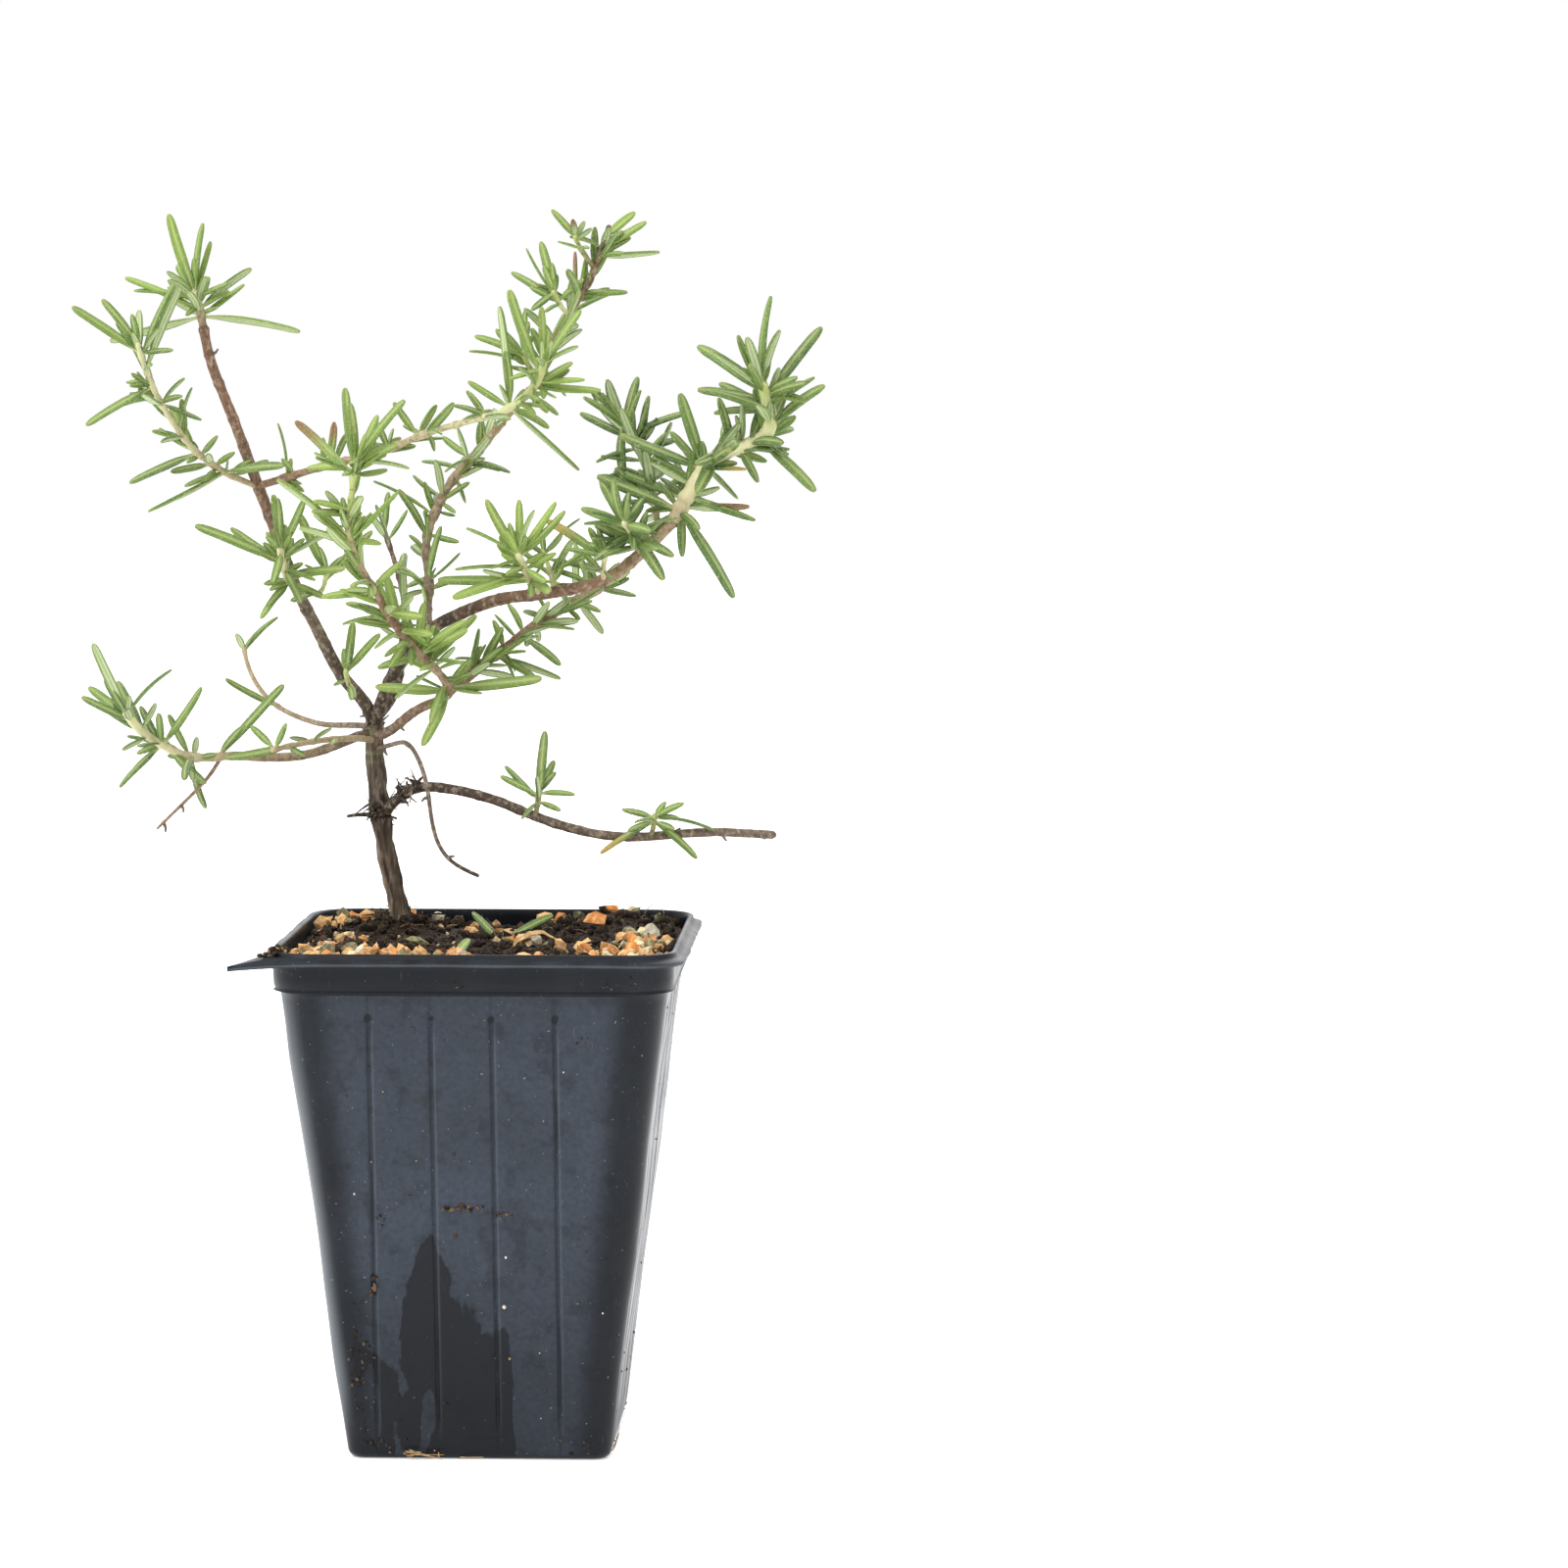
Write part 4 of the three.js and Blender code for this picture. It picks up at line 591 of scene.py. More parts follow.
def pot_material():
    """Thin black plastic. Its tint holds the dusty film with painted shade in red, the water stain with
    painted shade in the dimples in green, painted highlights and the pale torn flange edge in blue.
    """
    look, shader, tint = new_material("pot_plastic_worn_and_painted_light", roughness=0.34, specular=0.17)
    tree = look.node_tree
    wear_and_painted_light = tree.nodes.new("ShaderNodeSeparateColor")
    tree.links.new(tint.outputs["Color"], wear_and_painted_light.inputs["Color"])
    dust_and_shade, damp_and_dimple_shade, edge = (wear_and_painted_light.outputs[i] for i in range(3))
    clouds = grain(tree, 70, detail=7)
    film = mix(tree, ramp(tree, clouds, 0.35, 0.7), srgb(49, 55, 64), srgb(57, 63, 74))
    fine = ramp(tree, grain(tree, 900, detail=6), 0.3, 0.62, 0.72, 1.0)
    worn = ramp(tree, grain(tree, 190, detail=8), 0.34, 0.46, 0.7, 1.0)
    amount = combine(tree, "MULTIPLY", combine(tree, "MULTIPLY", dust_and_shade, fine), worn)
    colour = mix(tree, amount, srgb(7, 10, 15), film)
    scratches = grain(tree, 330, detail=2, stretch=(6.0, 6.0, 0.5))
    scratch_share = ramp(tree, scratches, 0.7, 0.76, end=0.14)
    colour = mix(tree, scratch_share, colour, srgb(120, 124, 130))
    specks = grain(tree, 1300, detail=1)
    speck_share = ramp(tree, specks, 0.74, 0.8, end=0.4)
    colour = mix(tree, speck_share, colour, srgb(150, 150, 146))
    scabs = grain(tree, 330, detail=4)
    scab_share = ramp(tree, scabs, 0.69, 0.72, end=0.5)
    colour = mix(tree, scab_share, colour, srgb(56, 48, 40))
    fray = ramp(tree, grain(tree, 200, detail=7, stretch=(1.5, 1.0, 0.7)), 0.3, 0.7, -0.42, 0.42)
    # The water stain, and painted shade in the dimples at the tops of the grooves.
    wet_and_dimple_shade = ramp(tree, combine(tree, "ADD", damp_and_dimple_shade, fray), 0.44, 0.58, end=0.82)
    colour = mix(tree, wet_and_dimple_shade, colour, srgb(12, 14, 19))
    # Painted highlights on the front left corner and beside the grooves, and the pale torn edge of the
    # flange.
    colour = mix(tree, edge, colour, srgb(120, 126, 132))
    tree.links.new(colour, shader.inputs["Base Color"])
    rough = ramp(tree, clouds, 0.3, 0.7, 0.26, 0.42)
    tree.links.new(rough, shader.inputs["Roughness"])
    bump(tree, shader, grain(tree, 700, detail=4), strength=0.12, distance=0.0001)
    return look


LEAF = leaf_material()
BARK = bark_material("rosemary_bark", stretch=(1.0, 1.0, 0.8))
TRUNK_BARK = bark_material("rosemary_trunk_bark", stretch=(1.0, 1.0, 0.2))
YOUNG = shoot_material()
PEAT = rough_material("peat", srgb(120, 96, 70), 1500, 0.95, 0.0004)
GRIT = rough_material("grit_stone", srgb(246, 226, 188), 1100, 0.8, 0.0003)
DRY_LEAF = rough_material("dry_leaf_skin", srgb(226, 198, 150), 900, 0.75, 0.0002)
POT = pot_material()

# ---------------------------------------------------------------- paths


def lift(route):
    """A route's points in the part's own frame."""
    return [Vector((x, y, z + ROOT_COLLAR)) for x, y, z in route]


CURVE_STEPS = 24  # points worked out between two points of a route
# [spacing of the points, rounds of smoothing, sides] of each kind of stem.
SHOOT_TUBE = (0.5, 30, 12)
STEM_TUBE = (0.45, 130, 16)
TRUNK_TUBE = (0.35, 0, 30)
# [how far past the end, how wide] of the rings that round off a tube, in shares of its radius.
TUBE_END = ((0.55, 0.75), (0.85, 0.4))


class Path:
    """Evenly spaced points along the smooth curve through a route."""

    def __init__(self, points, spacing):
        ends = [points[0] * 2 - points[1], *points, points[-1] * 2 - points[-2]]
        fine = []
        for i in range(len(points) - 1):
            p0, p1, p2, p3 = ends[i:i + 4]
            for k in range(CURVE_STEPS):
                t = k / CURVE_STEPS
                v0, v1 = (p2 - p0) / 2, (p3 - p1) / 2
                fine.append((2 * p1 - 2 * p2 + v0 + v1) * t ** 3
                            + (3 * p2 - 3 * p1 - 2 * v0 - v1) * t ** 2 + v0 * t + p1)
        fine.append(points[-1].copy())
        marks = [0.0]
        for a, b in zip(fine, fine[1:]):
            marks.append(marks[-1] + (b - a).length)
        self.length = marks[-1]
        count = max(2, math.ceil(self.length / spacing))
        self.points = []
        k = 0
        for i in range(count + 1):
            goal = self.length * i / count
            while k < len(marks) - 2 and marks[k + 1] < goal:
                k += 1
            span = marks[k + 1] - marks[k]
            self.points.append(fine[k].lerp(fine[k + 1], (goal - marks[k]) / span if span else 0))

    def relax(self, rounds):
        """Smooths small wiggles and keeps both ends."""
        for _ in range(rounds):
            kept = self.points
            self.points = [kept[0], *[(a + b * 2 + c) / 4 for a, b, c in zip(kept, kept[1:], kept[2:])],
                           kept[-1]]
        return self

    def at(self, share):
        """(point, tangent) at a share of the length."""
        place = min(max(share, 0), 1) * (len(self.points) - 1)
        i = min(int(place), len(self.points) - 2)
        step = self.points[i + 1] - self.points[i]
        return self.points[i] + step * (place - i), step.normalized()

    def frames(self):
        """(point, side, up, tangent) at every point, the side turning as little as it can."""
        rows = []
        side = None
        last = len(self.points) - 1
        for i, point in enumerate(self.points):
            tangent = (self.points[min(i + 1, last)] - self.points[max(i - 1, 0)]).normalized()
            if side is None:
                side = tangent.orthogonal()
            side = (side - tangent * side.dot(tangent)).normalized()
            rows.append((point, side, tangent.cross(side), tangent))
        return rows


def grow_tube(skin, path, radius_at, sides, slot, colour_at, relief=None):
    """A round tube along a path: relief(share, angle, point) is added to its radius."""
    rings, rows = [], []
    frames = path.frames()
    last = len(frames) - 1
    for i, (point, side, up, tangent) in enumerate(frames):
        share = i / last
        ring, row = [], []
        for k in range(sides):
            angle = math.tau * k / sides
            out = side * math.cos(angle) + up * math.sin(angle)
            radius = radius_at(share)
            if relief:
                radius += relief(share, angle, point)
            ring.append(point + out * radius)
            row.append(colour_at(share, angle, point))
        rings.append(ring)
        rows.append(row)
    point, side, up, tangent = frames[-1]
    for reach, share in TUBE_END:
        centre = point + tangent * radius_at(1) * reach
        rings.append([centre + (p - point) * share for p in rings[last]])
        rows.append(rows[last])
    skin.rings(rings, rows, slot)


# ---------------------------------------------------------------- leaves

# The section of a leaf: how far across, how high, both in half widths, and what part it is.
LEAF_SECTION = [
    (-1.0, -0.04, "edge"), (-0.86, 0.2, "top"), (-0.52, 0.32, "top"), (-0.2, 0.24, "bank"),
    (0, -0.02, "groove"),
    (0.2, 0.24, "bank"), (0.52, 0.32, "top"), (0.86, 0.2, "top"), (1.0, -0.04, "edge"),
    (0.93, -0.26, "roll"), (0.7, -0.34, "roll"), (0.52, -0.18, "felt"), (0.2, -0.12, "felt"),
    (0, -0.26, "rib"),
    (-0.2, -0.12, "felt"), (-0.52, -0.18, "felt"), (-0.7, -0.34, "roll"), (-0.93, -0.26, "roll"),
]
# Where along a leaf its sections stand, closer together at the foot and the tip.
LEAF_STATIONS = [0, 0.04, 0.1, 0.18, 0.28, 0.4, 0.52, 0.64, 0.74, 0.82, 0.88, 0.93, 0.965, 0.99]

LEAF_WIDTH_LEAST = 1.3
LEAF_WIDTH_PER_LENGTH = 0.055
LEAF_WIDTH_MOST = 2.3
WIDTH_SPREAD = (0.92, 0.16)  # least share of that width, and how much more the most is
LEAF_TIP_ROUND = 1.2  # length of the rounded tip, in leaf widths
LEAF_TIP_MOST = 0.36  # and at most this share of the leaf
YOUNG_BRIGHTER = 0.25  # how much lighter the last leaves of these shoots are
BRIGHT_TIPS = ("right_crown", "front_shoot", "tall_crown", "cross_crown")

SHOOT_SEED_STEP = 100
LEAD = 1.5  # the part of a shoot that has no leaves, at its foot
FIRST_LEAF = 1.2  # least distance of a leaf from there
LAST_LEAF = 0.6  # and from the shoot's end
DEPTH_SPREAD = 50  # degrees by which leaves differ in depth
AXIL_FROM = 9  # a leaf longer than this has a young leaf in its axil
AWAY_LENGTHS = (9, 6)  # shortest of the away leaves, and how much longer the longest is
FACING_FRONT = 0.72  # share of the leaves whose top is turned a little to the front


def leaf_width(length):
    """Whole width of a leaf of that length."""
    return min(LEAF_WIDTH_LEAST + LEAF_WIDTH_PER_LENGTH * length, LEAF_WIDTH_MOST)


def leaf_share(share, blunt):
    """Width along the leaf: a narrow foot, nearly parallel edges and a round tip.

    blunt is the share of the leaf that the rounded tip takes up.
    """
    foot = 0.36 + 0.64 * smooth(0.0, 0.38, share)
    taper = 1 - 0.14 * smooth(0.5, 0.95, share)
    tip = math.sqrt(max(0.0, 1 - max(0.0, (share - 1 + blunt) / blunt) ** 2))
    return foot * taper * max(tip, 0.12)


def grow_leaf(skin, slot, foot, heading, face, length, width, bend, sweep, twist, colours):
    """A grooved leaf with rolled edges; colours gives a colour for each part of LEAF_SECTION."""
    across = heading.cross(face).normalized()
    rings, rows = [], []
    half = width / 2
    blunt = min(LEAF_TIP_ROUND * width / length, LEAF_TIP_MOST)
    for share in LEAF_STATIONS:
        centre = foot + heading * length * share - face * bend * length * share ** 2
        centre += across * sweep * length * share ** 2
        turn = Matrix.Rotation(twist * share, 3, heading)
        along = (heading - face * 2 * bend * share + across * 2 * sweep * share).normalized()
        wide = turn @ across
        wide = (wide - along * wide.dot(along)).normalized()
        high = wide.cross(along)
        if high.dot(turn @ face) < 0:
            high = -high
        size = half * leaf_share(share, blunt)
        ring, row = [], []
        for u, v, part in LEAF_SECTION:
            ring.append(centre + wide * u * size + high * v * (size * 0.6 + half * 0.4))
            colour = colours[part]
            colour = colour.lerp(colours["foot"], (1 - smooth(0.0, 0.2, share)) * 0.85)
            colour = colour.lerp(colours["tip"], smooth(0.84, 1.0, share) * colours["tip_share"])
            if colours["old"]:
                colour = colour.lerp(colours["tip"], smooth(0.35, 0.85, share) * colours["old"])
            row.append(colour)
        rings.append(ring)
        rows.append(row)
    skin.rings(rings, rows, slot)


def leaf_colours(brightness, seed, turning):
    """Colours of one leaf: a little different from its neighbours."""
    tone = min(max(brightness + (chance(seed + 3.5) - 0.5) * 0.5, 0), 1)
    top = blend_colours([COLOURS["leaf_dark"], COLOURS["leaf_mid"], COLOURS["leaf_bright"]], tone)
    top = top * (0.82 + 0.36 * chance(seed + 7.5))
    tip = top.lerp(srgb(190, 186, 110), 0.6)
    return {
        # The edge, where the top turns down into the rolled margin, is painted darker: painted shade.
        "top": top, "edge": top * 0.7, "roll": top.lerp(COLOURS["rib"], 0.25),
        "groove": top.lerp(srgb(206, 214, 142), 0.75), "bank": top.lerp(srgb(196, 206, 134), 0.3),
        "felt": COLOURS["felt"], "rib": COLOURS["rib"], "foot": COLOURS["leaf_foot"],
        "tip": COLOURS[turning] if turning else tip,
        "tip_share": 0.9 if turning else 0.5 * chance(seed + 5.5), "old": 0.85 if turning else 0.0,
    }


def leaves_of(shoot, path, seed):
    """(point, tangent, heading, length, place, number in the list or None) of all leaves of a shoot.

    The whole numbers added to the seed only keep the fixed chances apart.
    """
    usable = path.length - LEAD
    found = []

    def place_of(share):
        return (LEAD + min(max(share * usable, FIRST_LEAF), usable - LAST_LEAF)) / path.length

    for i, (share, clock, size) in enumerate(shoot["leaves"]):
        place = place_of(share)
        point, tangent = path.at(place)
        angle = math.radians(clock)
        depth = math.radians((chance(seed + i) - 0.5) * DEPTH_SPREAD)
        heading = Vector((math.sin(angle), 0, math.cos(angle))) * math.cos(depth)
        heading.y = math.sin(depth)
        found.append((point, tangent, heading, size, place, i))
        if size > AXIL_FROM:
            young = (heading + tangent * 0.5).normalized()
            lean = Vector((chance(seed + 31 + i) - 0.5, chance(seed + 37 + i) - 0.6,
                           chance(seed + 41 + i) - 0.3))
            young = (young + lean * 0.9).normalized()
            young_length = size * (0.3 + 0.25 * chance(seed + 43 + i))
            found.append((point, tangent, young, young_length, place, None))
    count, shortest, longest = shoot.get("fill", (0, 0, 0))
    for i in range(count):
        place = (LEAD + usable * (0.1 + 0.9 * chance(seed + 3 * i + 211))) / path.length
        place = min(place, 0.99)
        point, tangent = path.at(place)
        angle = math.tau * chance(seed + 5 * i + 223)
        depth = -0.55 + 0.9 * chance(seed + 7 * i + 227)
        out = Vector((math.cos(angle), depth, math.sin(angle))).normalized()
        heading = (out + tangent * 0.55 + Vector((0, 0, 0.3))).normalized()
        size = shortest + (longest - shortest) * chance(seed + 11 * i + 229)
        found.append((point, tangent, heading, size, place, None))
    for i in range(shoot["away"]):
        share = 0.2 + 0.8 * (i + 0.5) / shoot["away"]
        place = place_of(share)
        point, tangent = path.at(place)
        side = Vector((chance(seed + 50 + i) - 0.5, 1 if i % 2 else -1, 0))
        side = (side - tangent * side.dot(tangent)).normalized()
        heading = (tangent * 0.75 + side).normalized()
        size = AWAY_LENGTHS[0] + AWAY_LENGTHS[1] * chance(seed + 70 + i)
        found.append((point, tangent, heading, size, place, None))
    return found


def grow_shoot(shoot, seed):
    """A leafy shoot: its stem, swollen where leaves stand, and all its leaves, in one piece."""
    name = shoot["name"]
    base, tip = (width / 2 for width in shoot["thick"])
    spacing, rounds, sides = SHOOT_TUBE
    path = Path(lift(shoot["route"]), spacing).relax(rounds)
    radius_at = lambda share: base + (tip - base) * share
    stops = [COLOURS[tone] for tone in shoot["tones"]]
    leaves = leaves_of(shoot, path, seed)
    nodes = sorted(set(round(place * path.length, 1) for *_, place, _ in leaves))

    def relief(share, angle, point):
        here = share * path.length
        swell = sum(math.exp(-((here - n) / 0.7) ** 2) for n in nodes)
        ridges = 0.05 * math.cos(4 * angle)
        return base * (0.22 * min(swell, 1.3) + ridges) + 0.06 * noise.noise(point * 1.7)

    def colour_at(share, angle, point):
        return blend_colours(stops, share + 0.12 * noise.noise(point * 0.6))

    skin = Skin()
    old = stops[0] in (COLOURS["red_bark"], COLOURS["grey_bark"], COLOURS["dark_bark"])
    grow_tube(skin, path, radius_at, sides, 1, colour_at, relief)
    for k, (point, tangent, heading, length, place, number) in enumerate(leaves):
        own = seed + k
        bend = (chance(own + 90) - 0.28) * 0.5 * min(1, 11 / length)
        face = tangent - heading * tangent.dot(heading)
        if face.length < 0.15:
            face = Vector((0, -1, 0)) + heading * heading.y
        face.normalize()
        front = Vector((0, -1 if chance(own + 11.5) < FACING_FRONT else 1, 0.45))
        front = front - heading * front.dot(heading)
        if front.length > 0.05:
            face = face * 0.62 + front.normalized() * (0.35 + 0.75 * chance(own + 13.5))
        face = (face - heading * face.dot(heading)).normalized()
        foot = point + heading * radius_at(place) * 0.5
        turning = shoot.get("turning", {}).get(number)
        young = YOUNG_BRIGHTER * smooth(0.88, 1.0, place) if name in BRIGHT_TIPS else 0.0
        colours = leaf_colours(shoot["bright"] + young, own, turning)
        share = WIDTH_SPREAD[0] + WIDTH_SPREAD[1] * chance(own + 17.5)
        width = leaf_width(length) * share * shoot.get("wide", 1)
        sweep = (chance(own + 19.5) - 0.5) * 0.14
        twist = (chance(own + 23.5) - 0.5) * 0.8
        grow_leaf(skin, 0, foot, heading, face, length, width, bend, sweep, twist, colours)
    piece = skin.build(name + "_grown", [LEAF, BARK if old else YOUNG])
    return hand_over(piece, "leaf", name)


# ---------------------------------------------------------------- bare stems


FIRST_STEM_SEED = 40
STEM_SEED_STEP = 13
FIRST_NODE = 4.0
NODE_GAPS = (5, 6)  # least distance between two nodes, and how much more the greatest is


def grow_bare_stem(stem, seed, slot):
    """A stem without leaves, with a ring at each node and short stubs at some of them."""
    name = stem["name"]
    base, tip = (width / 2 for width in stem["thick"])
    spacing, rounds, sides = STEM_TUBE
    path = Path(lift(stem["route"]), spacing).relax(rounds)
    radius_at = lambda share: base + (tip - base) * share
    stops = [COLOURS[tone] for tone in stem["tones"]]
    nodes = []
    here = FIRST_NODE
    while here < path.length:
        nodes.append(here)
        here += NODE_GAPS[0] + NODE_GAPS[1] * chance(seed + len(nodes))

    def relief(share, angle, point):
        along = share * path.length
        swell = sum(math.exp(-((along - n) / 0.55) ** 2) for n in nodes)
        turned = Vector((math.cos(angle) * 1.6, math.sin(angle) * 1.6, along * 0.22 + seed))
        fissure = abs(noise.noise(turned)) - 0.22
        lumps = noise.noise(point * 0.55)
        return base * (0.08 * min(swell, 1) + 0.1 * fissure + 0.05 * lumps - 0.06)

    def colour_at(share, angle, point):
        along = share * path.length
        ring = sum(math.exp(-((along - n - 0.5) / 0.35) ** 2) for n in nodes)
        colour = blend_colours(stops, share + 0.15 * noise.noise(point * 0.4))
        streak = noise.noise(Vector((math.cos(angle) * 2.4, math.sin(angle) * 2.4, along * 0.1 + seed)))
        colour = colour * (1 + 0.35 * streak)
        return colour.lerp(COLOURS["dark_bark"], 0.3 * min(ring, 1))

    skin = Skin()
    grow_tube(skin, path, radius_at, sides, 0, colour_at, relief)
    for i, node in enumerate(nodes):
        if chance(seed + 31 + i) < 0.5:
            continue
        point, tangent = path.at(node / path.length)
        angle = math.tau * chance(seed + 47 + i)
        side = tangent.orthogonal().normalized()
        out = side * math.cos(angle) + tangent.cross(side) * math.sin(angle)
        start = point + out * radius_at(node / path.length) * 0.6
        stub = Path([start, start + out * 0.9 + tangent * 0.3, start + out * 1.6 + tangent * 0.9], 0.35)
        grow_tube(skin, stub, lambda s: 0.42 - 0.2 * s, 8, 0, lambda s, a, p: COLOURS["grey_bark"])
    piece = skin.build(name + "_grown", [BARK])
    return hand_over(piece, slot, name)


TRUNK_SEED = 11
TRUNK_FOOT = (-20.5, 19.5, -9)  # where the trunk begins, below the soil
TRUNK_FOOT_PLACE = (-21.5, 18.8)  # its middle at the soil
TRUNK_RADIUS_SHARE = 0.43  # of its width, as the relief makes up the rest
BURL = (-24.2, 14.6, 30.5)
# [x, y, height, how many, spread, reach] of the shreds of bark on the knot and the joint of the lowest
# branch, on the burl and beside it, and at the trunk's top and foot.
SHREDS = [
    (-19.2, 7.4, 35.3, 34, 2.2, 3.4), (-15.6, 4.2, 36.8, 20, 1.7, 2.8), (*BURL, 46, 2.6, 4.2),
    (-25.4, 13.6, 31, 18, 2.6, 3.2), (*TRUNK["route"][-1], 26, 2.6, 2.6), (-21, 18.6, 3.6, 22, 3.6, 5.5),
]


def any_way(draw, low=(-1, -1, -1), high=(1, 1, 1)):
    """A vector drawn between two corners."""
    return Vector([draw.uniform(a, b) for a, b in zip(low, high)])


def grow_trunk():
    """The woody stem: fissured, flared at the soil, with a burl where the lowest branch leaves."""
    spacing, rounds, sides = TRUNK_TUBE
    path = Path(lift([TRUNK_FOOT, *TRUNK["route"]]), spacing).relax(rounds)
    base, tip = (width * TRUNK_RADIUS_SHARE for width in TRUNK["thick"])
    top = path.points[-1]
    burl_height = BURL[2] + ROOT_COLLAR

    def radius_at(share):
        return base + (tip - base) * share

    def relief(share, angle, point):
        along = share * path.length
        turned = Vector((math.cos(angle) * 1.9, math.sin(angle) * 1.9, along * 0.07))
        fissure = abs(noise.noise(turned * 1.7)) - 0.2
        fine = noise.noise(Vector((math.cos(angle) * 5, math.sin(angle) * 5, along * 0.7)))
        knots = max(0.0, noise.noise(point * 0.28))
        flare = 1.1 * math.exp(-(((point.z - SOIL_TOP) / 4.5) ** 2))
        out = Vector((math.cos(angle), math.sin(angle), 0))
        swell = 1.2 * math.exp(-(((point.z - burl_height) / 3.2) ** 2))
        swell *= max(0.0, 0.4 + noise.noise(out * 1.3))
        fork = 0.6 * math.exp(-(((point.z - top.z) / 4.0) ** 2))
        return 1.3 * fissure + 0.12 * fine + 0.5 * knots + flare + swell + fork - 0.35

    def colour_at(share, angle, point):
        along = share * path.length
        streak = noise.noise(Vector((math.cos(angle) * 3.4, math.sin(angle) * 3.4, along * 0.06)))
        colour = (COLOURS["grey_bark"] * 1.15).lerp(COLOURS["dark_bark"], smooth(-0.2, 0.25, streak))
        height = point.z - ROOT_COLLAR
        colour = colour.lerp(COLOURS["dark_bark"] * 0.5, 0.8 * math.exp(-((height - 30) / 5) ** 2))
        colour = colour.lerp(COLOURS["peat"], 0.8 * (1 - smooth(2.5, 7, height)))
        green = max(0.0, noise.noise(point * 0.7)) * 2 * smooth(36, 44, height)
        return colour.lerp(COLOURS["lichen"], min(green, 0.8))

    skin = Skin()
    grow_tube(skin, path, radius_at, sides, 0, colour_at, relief)
    draw = random.Random(TRUNK_SEED)
    for x, y, height, count, spread, reach in SHREDS:
        centre = Vector((x, y, height + ROOT_COLLAR))
        for _ in range(count):
            start = centre + any_way(draw) * spread * 0.6
            way = any_way(draw, (-1, -1, -0.7), (1, 0.6, 0.8)).normalized()
            curl = any_way(draw) * reach * 0.35
            length = draw.uniform(0.5, 1) * reach
            points = [start, start + way * length * 0.5 + curl * 0.4, start + way * length + curl]
            thick = draw.uniform(0.14, 0.42)
            shade = COLOURS["dark_bark"] * draw.uniform(0.3, 0.9)
            grow_tube(skin, Path(points, 0.45), lambda s: thick * (1 - 0.6 * s), 6, 0, lambda s, a, p: shade)
    piece = skin.build("trunk_grown", [TRUNK_BARK])
    return hand_over(piece, "bark", "trunk")


# ---------------------------------------------------------------- pot


GROOVE_STEPS = (-1.1, -0.7, -0.35, 0, 0.35, 0.7, 1.1)  # places across a groove that get a point
GROOVE_REACH = 23.0  # half of the straight part that the grooves' places are made for
PLAIN_STEPS = 7  # steps between two grooves


def side_places(half, corner):
    """Places along one side of the outline, crowded where the grooves run."""
    straight = half * (1 - corner)
    squeeze = min(1.0, straight / GROOVE_REACH)
    marks = []
    ends = [-straight]
    for groove in GROOVE_PLACES:
        places = [groove * squeeze + step * squeeze for step in GROOVE_STEPS]
        marks += places
        ends += [places[0], places[-1]]
    ends.append(straight)
    for low, high in zip(ends[::2], ends[1::2]):
        for i in range(1, PLAIN_STEPS):
            marks.append(low + (high - low) * i / PLAIN_STEPS)
    return sorted([*marks, -straight, straight])


CORNER_STEPS = 10
DIMPLE_DROP = 5.5  # how far the dimple at a groove's top lies below the collar
TAB_SINK = 0.7


def square_ring(half, height, corner):
    """(point, side number, place along the side) round a square with rounded corners."""
    ring = []
    for side in range(4):
        turn = Matrix.Rotation(side * math.pi / 2, 3, "Z")
        for place in side_places(half, corner):
            ring.append((turn @ Vector((place, -half, height)), side, place))
        radius = half * corner
        middle = Vector((half - radius, -half + radius, height))
        for i in range(1, CORNER_STEPS):
            angle = -math.pi / 2 + math.pi / 2 * i / CORNER_STEPS
            point = middle + Vector((math.cos(angle), math.sin(angle), 0)) * radius
            ring.append((turn @ point, side, None))
    return ring


def body_half(height):
    """Half width of the pot's body at a height."""
    return BASE_HALF + (BODY_TOP_HALF - BASE_HALF) * height / BODY_TOP


def groove_depth(height, place):
    """How deep a groove or the dimple at its top is pressed in."""
    if place is None:
        return 0.0
    nearest = min(abs(place - groove) for groove in GROOVE_PLACES)
    run = smooth(3, 9, height) * (1 - smooth(BODY_TOP - 6.5, BODY_TOP - 4.5, height))
    groove = 0.7 * run * (1 - smooth(0.1, 0.8, nearest))
    drop = math.hypot(nearest, (height - (BODY_TOP - DIMPLE_DROP)) * 0.8)
    return max(groove, 0.75 * (1 - smooth(0.15, 1.25, drop)))


def tear_tab(point):
    """Pulls the front left corner of the flange out to the torn point."""
    x, y, z = point
    if x > -TAB_FEET or y > -TAB_FEET:
        return point
    left = Vector((-FLANGE_HALF, -TAB_FEET))
    right = Vector((-TAB_FEET, -FLANGE_HALF))
    tip = Vector(TAB_TIP)
    place = math.atan2(-x - TAB_FEET, -y - TAB_FEET) / (math.pi / 2)
    here = Vector((x, y))
    if place > 0.5:
        goal = left.lerp(tip, (1 - place) * 2)
    else:
        goal = right.lerp(tip, place * 2)
    near = 1 - abs(place - 0.5) * 2
    bowed = goal.lerp(here, 0.25 * (1 - near ** 2))
    return Vector((bowed.x, bowed.y, z - TAB_SINK * near ** 2))


